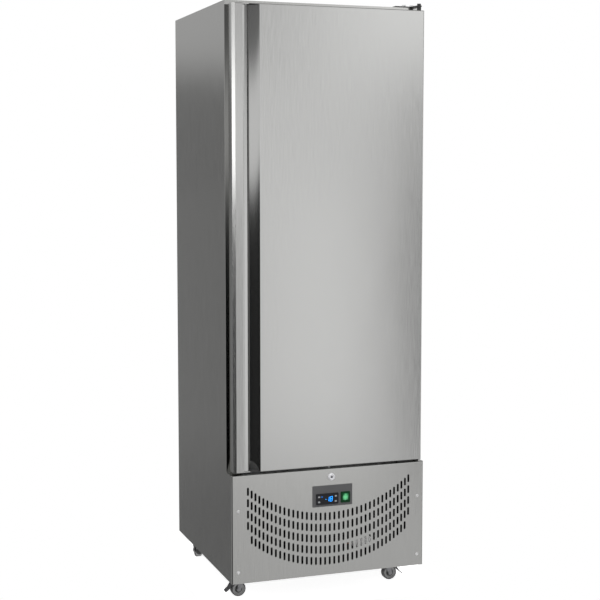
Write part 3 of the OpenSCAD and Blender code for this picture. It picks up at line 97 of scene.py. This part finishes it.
class Graph:
    """A node tree, with short calls for the nodes that are needed here."""

    def __init__(self, tree):
        self.tree = tree

    def feed(self, socket, value):
        """Link the socket to an output, or set it to a number, vector or colour."""
        if isinstance(value, bpy.types.NodeSocket):
            self.tree.links.new(value, socket)
        elif socket.type == "RGBA":
            socket.default_value = (*value, 1)
        else:
            socket.default_value = value

    def node(self, kind, settings=None, **inputs):
        made = self.tree.nodes.new(kind)
        for name, value in (settings or {}).items():
            setattr(made, name, value)
        for name, value in inputs.items():
            self.feed(made.inputs[name.replace("_", " ")], value)
        return made

    def math(self, operation, *values):
        made = self.node("ShaderNodeMath", {"operation": operation})
        for socket, value in zip(made.inputs, values):
            self.feed(socket, value)
        return made.outputs[0]

    def vector(self, operation, *values, **inputs):
        made = self.node("ShaderNodeVectorMath", {"operation": operation}, **inputs)
        for socket, value in zip(made.inputs, values):
            self.feed(socket, value)
        return made.outputs[0]

    def split(self, place):
        """The X, Y and Z of a place or direction."""
        return self.node("ShaderNodeSeparateXYZ", Vector=place).outputs

    def ramp(self, value, low, high, to_low=0.0, to_high=1.0, shape="LINEAR"):
        made = self.node("ShaderNodeMapRange", {"interpolation_type": shape}, Value=value,
                         From_Min=low, From_Max=high, To_Min=to_low, To_Max=to_high)
        return made.outputs["Result"]

    def mix(self, factor, a, b):
        """Colour a where the factor is 0, and b where it is 1."""
        made = self.node("ShaderNodeMix", {"data_type": "RGBA"})
        for index, value in ((0, factor), (6, a), (7, b)):
            self.feed(made.inputs[index], value)
        return made.outputs[2]

    def blend(self, factor, a, b):
        """Number a where the factor is 0, and b where it is 1."""
        made = self.node("ShaderNodeMix", {"data_type": "FLOAT"})
        for index, value in ((0, factor), (2, a), (3, b)):
            self.feed(made.inputs[index], value)
        return made.outputs[0]


class Paint(Graph):
    """A material's shader and graph, in object coordinates, which are metres at rest."""

    def __init__(self, name, metallic=0.0, roughness=0.5, **sockets):
        self.material = bpy.data.materials.new(name)
        self.material.use_nodes = True
        super().__init__(self.material.node_tree)
        self.shader = self.tree.nodes["Principled BSDF"]
        self.shader.inputs["Metallic"].default_value = metallic
        self.shader.inputs["Roughness"].default_value = roughness
        for socket, value in sockets.items():
            self.shader.inputs[socket.replace("_", " ")].default_value = value
        self.place = self.node("ShaderNodeTexCoord").outputs["Object"]

    def use(self, socket, value):
        self.tree.links.new(value, self.shader.inputs[socket])
        return self

    def noise(self, size, stretch=(1, 1, 1), detail=3, roughness=0.55):
        """Noise with features of about that size in metres, longer along an axis by its stretch."""
        scale = [1 / (size * s) for s in stretch]
        mapping = self.node("ShaderNodeMapping", Vector=self.place, Scale=scale)
        made = self.node("ShaderNodeTexNoise", Vector=mapping.outputs[0], Scale=1.0,
                         Detail=detail, Roughness=roughness)
        return made.outputs["Fac"]

    def cells(self, scale, output):
        """That output of a pattern of cells, so many to the metre."""
        return self.node("ShaderNodeTexVoronoi", Vector=self.place, Scale=scale).outputs[output]

    def bump(self, height, depth, strength=1.0, under=None):
        made = self.node("ShaderNodeBump", Height=height, Distance=depth, Strength=strength)
        if under is not None:
            self.feed(made.inputs["Normal"], under)
        return made.outputs["Normal"]

    def within(self, low, high):
        """1 inside that box of the object, 0 outside."""
        half = [(b - a) / 2 for a, b in zip(low, high)]
        middle = [(a + b) / 2 for a, b in zip(low, high)]
        share = self.vector("DIVIDE", self.vector("SUBTRACT", self.place, middle), half)
        x, y, z = self.split(self.vector("ABSOLUTE", share))
        return self.math("LESS_THAN", self.math("MAXIMUM", self.math("MAXIMUM", x, y), z), 1.0)

    def around(self, centre, radius):
        """1 nearer to the centre than the radius, as seen along Y, 0 beyond."""
        parts = self.split(self.place)
        squares = [self.math("POWER", self.math("ABSOLUTE", self.math(
            "SUBTRACT", parts[axis], centre[axis])), 2.0) for axis in (0, 2)]
        return self.math("LESS_THAN", self.math("ADD", *squares), radius ** 2)

    def cover(self, mask, tone, roughness, metallic=0.0):
        """Another finish wherever the mask is 1, over what the shader has so far."""
        for name, value in (("Roughness", roughness), ("Metallic", metallic)):
            socket = self.shader.inputs[name]
            before = socket.links[0].from_socket if socket.links else socket.default_value
            self.use(name, self.blend(mask, before, value))
        before = self.shader.inputs["Base Color"].links[0].from_socket
        return self.use("Base Color", self.mix(mask, before, tone))

    def bent(self, mask, towards, normal=None):
        """The normal, or else the surface's own, turned towards that direction by the mask."""
        aim = self.node("ShaderNodeVectorTransform",
                        {"vector_type": "VECTOR", "convert_from": "OBJECT", "convert_to": "WORLD"},
                        Vector=towards).outputs[0]
        own = normal or self.node("ShaderNodeNewGeometry").outputs["Normal"]
        turned = self.vector("ADD", own, self.vector("SCALE", aim, Scale=mask))
        return self.vector("NORMALIZE", turned)


def steel(name, tone, roughness=0.15, grain=(1, 1, 60), pillar=None, bends=()):
    """Satin sheet steel with fine grain along one axis and the slight waves of a big sheet.

    A pillar's sheet rises across it. The sheet in the box of each bend turns to its direction.
    """
    g = Paint(name, metallic=1.0, roughness=roughness)
    fine = g.noise(0.0012, grain, detail=4)
    waves = g.noise(0.35, (1, 1, 2.2), detail=2)
    dark = [c * 0.93 for c in tone]
    light = [min(1, c * 1.05) for c in tone]
    g.use("Base Color", g.mix(g.ramp(fine, 0.3, 0.7), dark, light))
    g.use("Roughness", g.ramp(fine, 0.25, 0.75, roughness - 0.04, roughness + 0.05))
    under = None
    for box, towards in bends:
        under = g.bent(g.math("MULTIPLY", g.within(*box), BEND_WEIGHT), towards, under)
    sheet = g.bump(waves, 0.0004, under=under)
    if pillar:
        left, right, rise = pillar
        sheet = g.bump(g.ramp(g.split(g.place)[0], left, right), rise, under=sheet)
    return g.use("Normal", g.bump(fine, 0.00002, 0.35, under=sheet))


def plastic(name, tone, roughness, grain=0.00003, **sockets):
    """Moulded plastic: a grained skin of that depth with a slightly uneven colour."""
    g = Paint(name, roughness=roughness, **sockets)
    cloud = g.noise(0.03)
    dark = [c * 0.94 for c in tone]
    light = [min(1, c * 1.06) for c in tone]
    g.use("Base Color", g.mix(g.ramp(cloud, 0.3, 0.7), dark, light))
    g.use("Roughness", g.ramp(cloud, 0.3, 0.7, roughness * 0.9, min(1, roughness * 1.1)))
    return g.use("Normal", g.bump(g.noise(0.0006, detail=2), grain))


def galvanised(name, tone=(0.56, 0.57, 0.58)):
    """Zinc-coated sheet with faint spangle."""
    g = Paint(name, metallic=0.85)
    spangle = g.node("ShaderNodeSeparateColor", Color=g.cells(70.0, "Color")).outputs[0]
    g.use("Base Color", g.mix(spangle, [c * 0.9 for c in tone], [c * 1.08 for c in tone]))
    g.use("Roughness", g.ramp(spangle, 0, 1, 0.36, 0.5))
    return g.use("Normal", g.bump(g.noise(0.002), 0.00004))


def painted(name, tone):
    """Powder coat with orange peel and a little dust."""
    g = Paint(name, roughness=0.4, Coat_Weight=0.15)
    dust = g.noise(0.02, detail=5, roughness=0.65)
    g.use("Base Color", g.mix(g.ramp(dust, 0.55, 0.8, 0, 0.35), tone, (0.33, 0.32, 0.30)))
    return g.use("Normal", g.bump(g.noise(0.0014, detail=2), 0.00005))


def rubber(name, tone, worn, roughness):
    """Matt rubber, lighter where it is worn."""
    g = Paint(name)
    wear = g.noise(0.006, detail=5, roughness=0.6)
    g.use("Base Color", g.mix(g.ramp(wear, 0.4, 0.75), tone, worn))
    g.use("Roughness", g.ramp(wear, 0.3, 0.7, roughness - 0.1, roughness + 0.1))
    return g.use("Normal", g.bump(g.noise(0.0008), 0.00006))


def foam(name):
    """Cut rigid foam, with its cells."""
    g = Paint(name, roughness=0.9)
    g.use("Base Color", g.mix(g.noise(0.02), (0.80, 0.70, 0.45), (0.88, 0.80, 0.58)))
    return g.use("Normal", g.bump(g.cells(900.0, "Distance"), 0.0002))


def copper(name):
    """Aged copper tube, with light enamel on the drier and black on the riser as painted shade of
    the machine bay.
    """
    g = Paint(name, metallic=1.0)
    age = g.noise(0.012, detail=5, roughness=0.6)
    g.use("Base Color", g.mix(g.ramp(age, 0.45, 0.75), (0.78, 0.43, 0.30), (0.36, 0.17, 0.11)))
    g.use("Roughness", g.ramp(age, 0.3, 0.8, 0.22, 0.5))
    enamel = g.mix(g.ramp(age, 0.5, 0.8), (0.80, 0.80, 0.79), (0.62, 0.62, 0.60))
    g.cover(g.within(*DRIER), enamel, 0.4)
    return g.cover(g.within(*RISER), (0.012, 0.012, 0.012), 0.9)


def plated(name, tone, roughness, metallic):
    """Plated metal with a faint haze; a matt plate is given as less metallic."""
    g = Paint(name, metallic=metallic)
    haze = g.noise(0.002, detail=4)
    g.use("Base Color", g.mix(haze, [c * 0.96 for c in tone], tone))
    return g.use("Roughness", g.ramp(haze, 0.3, 0.7, roughness * 0.8, roughness * 1.3))


def glow(name, tone, strength):
    """A lit legend behind a smoked window, a little uneven like a real light pipe."""
    g = Paint(name, roughness=0.3, Emission_Strength=strength)
    lit = g.mix(g.ramp(g.noise(0.002), 0.3, 0.7), [c * 0.85 for c in tone], tone)
    return g.use("Base Color", lit).use("Emission Color", lit)


def paint_bay_shade(g):
    """That sheet, painted black as shade where it faces the machine bay."""
    return g.cover(g.within(*BAY), (0.008, 0.008, 0.008), 0.9)


def casing(name):
    """Sheet steel with painted shade: darker on its edges round the door, where the gap's shadow
    falls, and black inside the machine bay.
    """
    g = steel(name, (0.60, 0.60, 0.585), bends=[(RIM, TO_PANEL)])
    return paint_bay_shade(g.cover(g.within(*RIM), (0.30, 0.30, 0.29), 0.12, 1.0))


def door_steel(name, bends):
    return steel(name, (0.63, 0.63, 0.62), pillar=PILLAR, bends=bends)


def door(name):
    """The door's steel, smoother in the finger groove."""
    g = door_steel(name, [(GROOVE, TO_PANEL), (DOOR_FOLD, TO_SLIT)])
    return g.cover(g.within(*GROOVE), (0.62, 0.62, 0.61), 0.08, 0.96)


def grip(name):
    """The door's steel, with the plugs where the grip strip closes the groove's ends painted dark
    as shade.
    """
    g = door_steel(name, [(DOOR_FOLD, TO_SLIT)])
    return g.cover(g.within(*PLUGS), (0.035, 0.035, 0.035), 0.6)


def wheel(node):
    """Dark tyre on a lighter moulded rim with a dark hub, round that wheel's own axle."""
    low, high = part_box(node)
    centre = (low + high) / 2
    outer = (high.z - low.z) / 2
    g = rubber(node + "_rubber", (0.045, 0.045, 0.047), (0.09, 0.09, 0.09), 0.65)
    mottle = g.noise(0.006, detail=5, roughness=0.6)
    rim = g.mix(mottle, (0.17, 0.17, 0.17), (0.25, 0.25, 0.25))
    g.cover(g.around(centre, outer * WHEEL_RIM), rim, 0.5)
    hub = g.mix(mottle, (0.02, 0.02, 0.02), (0.05, 0.05, 0.05))
    return g.cover(g.around(centre, outer * WHEEL_HUB), hub, 0.6)


def lit_rocker(name):
    """Translucent green moulding, brighter over the lamp behind its middle."""
    low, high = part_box("rocker")
    centre, half = (low + high) / 2, (high - low) / 2
    g = Paint(name, roughness=0.3, Emission_Strength=0.55)
    parts = g.split(g.place)
    far = [g.math("POWER", g.math("ABSOLUTE", g.math("DIVIDE", g.math(
        "SUBTRACT", parts[axis], centre[axis]), half[axis])), 2.0) for axis in (0, 2)]
    lamp = g.ramp(g.math("ADD", g.math("ADD", *far), g.noise(0.004)), 0.45, 1.5, 1.0, 0.0)
    tone = g.mix(lamp, (0.003, 0.060, 0.018), (0.110, 0.480, 0.210))
    return g.use("Base Color", tone).use("Emission Color", tone)


def lock_plate(name):
    """Matt plated ring and barrel, with painted shade round the key's slot."""
    low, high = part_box("lock_barrel")
    g = plated(name, (0.74, 0.74, 0.76), 0.40, 0.4)
    return g.cover(g.around((low + high) / 2, KEYHOLE_SHADE_R), (0.10, 0.10, 0.11), 0.6)


# By material slot
PAINTS = {
    "cabinet_steel": casing("casing_steel"),
    "door_steel": door("door_steel"),
    "zinc_steel": galvanised("zinc_sheet"),
    "foam": foam("rigid_foam"),
    "white_plastic": plastic("white_moulding", (0.82, 0.83, 0.83), 0.35),
    "grey_plastic": plastic("grey_moulding", (0.30, 0.31, 0.32), 0.5),
    "black_plastic": plastic("black_moulding", (0.025, 0.025, 0.027), 0.45),
    "display_black": plastic("display_bezel", (0.012, 0.012, 0.014), 0.18, grain=0.00001,
                             Specular_IOR_Level=0.25),
    "plate_grey": plastic("display_plate_coat", (0.078, 0.078, 0.080), 0.42),
    "dark_green_plastic": plastic("rocker_frame_green", (0.003, 0.032, 0.010), 0.25,
                                  Specular_IOR_Level=0.15),
    "green_plastic": lit_rocker("rocker_green"),
    "chrome_metal": lock_plate("satin_plate"),
    "black_steel": painted("black_coat", (0.018, 0.018, 0.018)),
    "gasket_rubber": rubber("gasket_rubber", (0.035, 0.035, 0.036), (0.0625, 0.0625, 0.064), 0.6),
    "fin_aluminium": steel("fin_aluminium", (0.72, 0.73, 0.74), 0.34, grain=(1, 60, 1)),
    "coated_wire": plastic("wire_coat", (0.78, 0.79, 0.80), 0.3),
    "copper": copper("copper_tube"),
}
# Pieces that share a slot with others of another look
OWN_PAINTS = {
    "screws": plated("screw_zinc", (0.70, 0.70, 0.70), 0.40, 0.6),
    # The box is black as painted shade of the machine bay
    "electrical_box": plastic("box_moulding", (0.035, 0.036, 0.038), 0.5),
    "handle_strip": grip("grip_steel"),
    # The tray, the bay's roof and the rear grille are black as painted shade, so the machine bay
    # seen through the vents stays dark
    "base_tray": painted("tray_painted_shade", (0.020, 0.020, 0.021)),
    "bay_roof": paint_bay_shade(galvanised("roof_zinc")),
    "rear_grille": painted("grille_painted_shade", (0.020, 0.020, 0.021)),
}
# The forks' zinc is darker than the sheet's, painted shade under the cabinet
for corner in ("fl", "fr", "rl", "rr"):
    OWN_PAINTS["fork_" + corner] = galvanised("fork_zinc_painted_shade", (0.30, 0.30, 0.31))
    OWN_PAINTS["wheel_" + corner] = wheel("wheel_" + corner)

for part in frame["record"]["subparts"]:
    paint = OWN_PAINTS.get(part["node"]) or PAINTS[part["material_slot"]]
    mesh = NODES[part["node"]].data
    mesh.materials.clear()
    mesh.materials.append(paint.material)


# Pieces that only the scene has

def add_object(name, bm, paint):
    """An object in the scene from a finished bmesh, which is freed."""
    mesh = bpy.data.meshes.new(name)
    bm.to_mesh(mesh)
    bm.free()
    mesh.materials.append(paint.material)
    made = bpy.data.objects.new(name, mesh)
    bpy.context.scene.collection.objects.link(made)
    return made


def add_piece(name, outlines, along, paint, body):
    """A piece of prisms, each an outline extruded by the same vector, riding on a body."""
    bm = bmesh.new()
    for outline in outlines:
        face = bm.faces.new([bm.verts.new(corner) for corner in outline])
        made = bmesh.ops.extrude_face_region(bm, geom=[face])["geom"]
        bmesh.ops.translate(bm, vec=along,
                            verts=[v for v in made if isinstance(v, bmesh.types.BMVert)])
    bmesh.ops.recalc_face_normals(bm, faces=bm.faces)
    piece = add_object(name, bm, paint)
    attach(piece, body)


def add_marks(name, outlines, front_y, back_y, paint, body):
    """Flat marks from outlines in X and Z, between two depths."""
    add_piece(name, [[(x, front_y, z) for x, z in outline] for outline in outlines],
              (0, back_y - front_y, 0), paint, body)


def bar(x0, z0, x1, z1, width):
    """Outline of a straight bar with pointed ends, as in a seven-segment digit."""
    start, end = Vector((x0, z0)), Vector((x1, z1))
    along = (end - start).normalized()
    side = Vector((-along.y, along.x)) * width / 2
    tip = along * width / 2
    return [tuple(corner) for corner in (start, start + tip + side, end - tip + side, end,
                                         end - tip - side, start + tip - side)]


DIGIT_H, DIGIT_W, MINUS_W, STROKE, DIGIT_LEAN = 0.0155, 0.0074, 0.004, 0.0015, 0.12
# Each character's left edge from the bezel's middle, and its width
CHARACTERS = [("-", -0.0080, MINUS_W), ("1", -0.0025, DIGIT_W), ("8", 0.0092, DIGIT_W)]
DIGITS_DOWN = 0.001
SEGMENTS = {"1": "bc", "8": "abcdefg", "-": "g"}
# The ends of each segment, as shares of the character's width and height
SEGMENT_ENDS = {"a": ((0, 1), (1, 1)), "b": ((1, 1), (1, 0.5)), "c": ((1, 0.5), (1, 0)),
                "d": ((0, 0), (1, 0)), "e": ((0, 0.5), (0, 0)), "f": ((0, 1), (0, 0.5)),
                "g": ((0, 0.5), (1, 0.5))}
STAR_X, STAR_Z, STAR_R, STAR_STROKE = -0.0190, 0.0077, 0.0028, 0.0009
WINDOW_DEPTH, LIT_T = 0.0006, 0.0002
MARK_R, MARK_STROKE, MARK_T = 0.0017, 0.0008, 0.00008


def character(text, x, z, width):
    """Segment outlines of one character whose lower left corner is x, z, leaning a little."""
    outlines = []
    for segment in SEGMENTS[text]:
        ends = [(x + u * width + v * DIGIT_H * DIGIT_LEAN, z + v * DIGIT_H)
                for u, v in SEGMENT_ENDS[segment]]
        outlines.append(bar(*ends[0], *ends[1], STROKE))
    return outlines


def lit_display():
    """Lit digits behind the controller's window, and a small star for the running compressor."""
    low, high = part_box("controller")
    middle_x, middle_z = (low.x + high.x) / 2, (low.z + high.z) / 2
    window_y = low.y + WINDOW_DEPTH
    digits = []
    for text, x, width in CHARACTERS:
        digits += character(text, middle_x + x, middle_z - DIGIT_H / 2 - DIGITS_DOWN, width)
    add_marks("display_digits", digits, window_y - LIT_T, window_y,
              glow("digit_blue", (0.010, 0.30, 1.0), 2.2), "cabinet")
    star = []
    for third in range(3):
        angle = math.pi * third / 3 + math.pi / 2
        x, z = middle_x + STAR_X, middle_z + STAR_Z
        across, up = STAR_R * math.cos(angle), STAR_R * math.sin(angle)
        star.append(bar(x - across, z - up, x + across, z + up, STAR_STROKE))
    add_marks("run_light", star, window_y - LIT_T, window_y,
              glow("star_blue", (0.010, 0.20, 0.7), 0.5), "cabinet")


def key_marks():
    """Printed marks on the four keys: up, down, set and on, given a faint painted glow."""
    print_white_painted_glow = glow("legend_white_painted_glow", (0.24, 0.25, 0.26), 0.3)
    for index in range(1, 5):
        low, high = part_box(f"key_{index}")
        x, z, r = (low.x + high.x) / 2, (low.z + high.z) / 2, MARK_R
        outline = {1: [(x - r, z - r), (x + r, z - r), (x, z + r)],
                   2: [(x - r, z + r), (x, z - r), (x + r, z + r)],
                   3: bar(x - r, z, x + r, z, MARK_STROKE),
                   4: bar(x, z - r, x, z + r, MARK_STROKE)}[index]
        add_marks(f"key_mark_{index}", [outline], low.y - MARK_T, low.y, print_white_painted_glow,
                  f"key_{index}_body")


# The rear grille's vents: two columns, each with its middle that far to a side, and the height
# of the lowest vents' middle
VENT_COUNT, VENT_PITCH, VENT_LOW, VENT_TALL = 8, 0.0176, 0.200, 0.008
VENT_TO_SIDE, VENT_LONG = 0.136, 0.212
# The pressed louvre inside each vent, which starts that far under it
LOUVRE_DEEP, LOUVRE_RISE, LOUVRE_T, LOUVRE_UNDER = 0.009, 0.0125, 0.0008, 0.001


def louvres():
    """Sloping blades just inside the vents, which close the view through the machine bay."""
    outer_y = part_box("rear_grille")[0].y
    inner_y = outer_y - LOUVRE_DEEP
    outlines = []
    for row in range(VENT_COUNT):
        z = VENT_LOW + row * VENT_PITCH - VENT_TALL / 2 - LOUVRE_UNDER
        for side in (-1, 1):
            x = side * VENT_TO_SIDE - VENT_LONG / 2
            outlines.append([(x, outer_y, z), (x, outer_y, z + LOUVRE_T),
                             (x, inner_y, z + LOUVRE_RISE),
                             (x, inner_y, z + LOUVRE_RISE - LOUVRE_T)])
    # The louvres take the grille's black, which is painted shade
    add_piece("rear_louvres", outlines, (VENT_LONG, 0, 0), OWN_PAINTS["rear_grille"],
              "cabinet")


lit_display()
key_marks()
louvres()


# The studio: floor, lights, surroundings and camera

FLOOR_EDGE, FLOOR_DOWN, CORNER_STEPS = 0.08, 0.0005, 12
# Each light's place, aim, width and height, and power in watts
LIGHTS = {"overhead": ((0, -0.6, 4.6), (0, 0, 0), (5, 5), 480),
          "front_fill": ((-1.2, -5.5, 1.0), (0, 0, 0.4), (2.5, 1.5), 60)}


def studio_floor():
    """A pale floor just under the object, a little wider than its casing."""
    bm = bmesh.new()
    low, high = CAD_BOX
    outline = []
    for corner, (cx, cy) in enumerate([(high[0], high[1]), (low[0], high[1]), (low[0], low[1]),
                                       (high[0], low[1])]):
        for step in range(CORNER_STEPS + 1):
            angle = math.pi / 2 * (corner + step / CORNER_STEPS)
            outline.append(bm.verts.new((cx + FLOOR_EDGE * math.cos(angle),
                                         cy + FLOOR_EDGE * math.sin(angle), 0)))
    bm.faces.new(outline)
    g = Paint("floor_paint", roughness=0.9, Emission_Strength=0.94)
    pale = g.mix(g.noise(0.4), (0.90, 0.90, 0.90), (0.93, 0.93, 0.93))
    floor = add_object("floor", bm, g.use("Base Color", pale).use("Emission Color", pale))
    floor.location = (0, 0, -FLOOR_DOWN)
    # The photograph's steel shows no floor in it
    floor.visible_glossy = False


def area_light(name, place, aim, size, power):
    """A soft light that no reflection shows."""
    data = bpy.data.lights.new(name, "AREA")
    data.shape = "RECTANGLE"
    data.size, data.size_y = size
    data.energy = power
    light = bpy.data.objects.new(name, data)
    light.location = place
    light.rotation_euler = (Vector(aim) - Vector(place)).to_track_quat("-Z", "Y").to_euler()
    light.visible_glossy = False
    bpy.context.scene.collection.objects.link(light)


# Brightness by turn in the bands of the surroundings, from over eye level down. Turn 0 is
# behind the object, 0.25 its left, 0.5 in front of it and 0.75 its right.
HIGH = [(0.00, 0.50), (0.02, 0.47), (0.033, 0.44), (0.06, 0.46), (0.08, 0.50), (0.26, 0.50),
        (0.28, 0.85), (0.32, 0.85), (0.345, 0.50), (0.51, 0.50), (0.522, 0.60), (0.54, 0.62),
        (0.549, 0.58), (0.557, 0.85), (0.564, 1.12), (0.575, 1.12), (0.62, 0.28), (0.70, 0.18),
        (0.80, 0.40), (1.00, 0.50)]
MIDDLE = [(0.00, 0.60), (0.02, 0.45), (0.033, 0.16), (0.06, 0.16), (0.08, 0.80), (0.26, 1.00),
          (0.28, 2.40), (0.32, 2.40), (0.345, 1.00), (0.470, 0.90), (0.522, 0.94), (0.54, 0.92),
          (0.549, 0.77), (0.560, 0.88), (0.566, 0.90), (0.5685, 0.22), (0.577, 0.22),
          (0.583, 0.72), (0.68, 0.80), (0.90, 0.80), (1.00, 0.60)]
LOW = [(0.00, 0.55), (0.02, 0.45), (0.033, 0.175), (0.06, 0.175), (0.08, 0.55), (0.27, 0.55),
       (0.283, 0.00), (0.317, 0.00), (0.33, 0.50), (0.524, 0.54), (0.538, 0.54), (0.549, 0.84),
       (0.557, 1.02), (0.562, 1.06), (0.5655, 0.98), (0.568, 0.00), (0.577, 0.00), (0.583, 0.80),
       (0.63, 0.86), (0.90, 0.86), (1.00, 0.55)]
UNDER = [(0.00, 0.48), (0.02, 0.40), (0.033, 0.13), (0.06, 0.13), (0.08, 0.48), (0.27, 0.48),
         (0.283, 0.00), (0.317, 0.00), (0.33, 0.48), (0.51, 0.52), (0.524, 0.54), (0.60, 0.60),
         (0.90, 0.52), (1.00, 0.48)]
# Brightness at every turn, far down and high up
GROUND, CEILING = 0.50, 0.35
# Each band takes over from what is there so far, between those two heights of the direction
BANDS = [(0.055, 0.092, HIGH), (0.00, -0.03, LOW), (-0.18, -0.26, UNDER),
         (-0.31, -0.36, GROUND), (0.30, 0.60, CEILING)]
# A panel low down in front for the dipping steel of the groove and rim, too low for flat steel
# to show from ordinary heights: bright in its middle, grey over that and black under it
PANEL_TURNS = [(0.00, 0.00), (0.40, 0.00), (0.41, 1.00), (0.47, 1.00), (0.48, 0.00)]
PANEL_START = (-0.46, -0.50)
PANEL_BRIGHT = 0.78
PANEL_BANDS = [(-0.572, -0.545, 0.13), (-0.618, -0.643, 0.00)]


def surroundings():
    """A studio that only reflections show, by direction, with a white backdrop for the camera."""
    world = bpy.data.worlds.new("studio")
    bpy.context.scene.world = world
    world.use_nodes = True
    world.node_tree.nodes.clear()
    g = Graph(world.node_tree)
    x, y, z = g.split(g.node("ShaderNodeTexCoord").outputs["Generated"])
    turn = g.math("MULTIPLY_ADD", g.math("ARCTAN2", x, g.math("MULTIPLY", y, -1.0)),
                  1 / (2 * math.pi), 0.5)

    def by_height(start, end):
        return g.ramp(z, start, end, shape="SMOOTHSTEP")

    def by_turn(stops):
        """Brightness by turn, from the stops."""
        low, high = min(v for _, v in stops), max(v for _, v in stops)
        ramp = g.node("ShaderNodeValToRGB", Fac=turn)
        points = ramp.color_ramp.elements
        while len(points) < len(stops):
            points.new(0.5)
        for point, (position, value) in zip(points, stops):
            point.position = position
            point.color = (*[(value - low) / (high - low)] * 3, 1)
        return g.math("MULTIPLY_ADD", ramp.outputs[0], high - low, low)

    walls = by_turn(MIDDLE)
    for start, end, band in BANDS:
        walls = g.blend(by_height(start, end), walls,
                        by_turn(band) if isinstance(band, list) else band)
    panel = PANEL_BRIGHT
    for start, end, brightness in PANEL_BANDS:
        panel = g.blend(by_height(start, end), panel, brightness)
    walls = g.blend(g.math("MULTIPLY", by_turn(PANEL_TURNS), by_height(*PANEL_START)),
                    walls, panel)
    reflected = g.node("ShaderNodeBackground", Color=walls)
    backdrop = g.node("ShaderNodeBackground", Color=(1, 1, 1))
    both = g.node("ShaderNodeMixShader")
    g.feed(both.inputs[0], g.node("ShaderNodeLightPath").outputs["Is Camera Ray"])
    g.feed(both.inputs[1], reflected.outputs[0])
    g.feed(both.inputs[2], backdrop.outputs[0])
    g.node("ShaderNodeOutputWorld", Surface=both.outputs[0])


# The camera's place and yaw are from a fit of the photograph's perspective to the casing's
# edges. The photograph has a level camera with a shifted frame; a small pitch stands in for
# most of that shift, so that other views keep the whole object.
CAMERA_FROM_SIDE, CAMERA_FROM_FRONT, CAMERA_OVER_TRAY = -1.194, -4.0312, 1.3457
CAMERA_YAW, CAMERA_PITCH = -0.3406, -0.08456
CAMERA_LENS, CAMERA_SENSOR, CAMERA_SHIFT_Y = 79.17, 36, -0.03
CAMERA_NEAR, CAMERA_FAR = 0.1, 60


def camera():
    data = bpy.data.cameras.new("camera")
    data.lens = CAMERA_LENS
    data.sensor_width = CAMERA_SENSOR
    data.shift_y = CAMERA_SHIFT_Y
    data.clip_start, data.clip_end = CAMERA_NEAR, CAMERA_FAR
    made = bpy.data.objects.new("camera", data)
    made.location = (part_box("side_panel_left")[0].x + CAMERA_FROM_SIDE,
                     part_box("front_grille")[0].y + CAMERA_FROM_FRONT,
                     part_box("base_tray")[0].z + CAMERA_OVER_TRAY)
    made.rotation_euler = (math.pi / 2 + CAMERA_PITCH, 0, CAMERA_YAW)
    bpy.context.scene.collection.objects.link(made)
    bpy.context.scene.camera = made


studio_floor()
surroundings()
for light_name, settings in LIGHTS.items():
    area_light(light_name, *settings)
camera()
bpy.context.scene.view_settings.view_transform = "Standard"
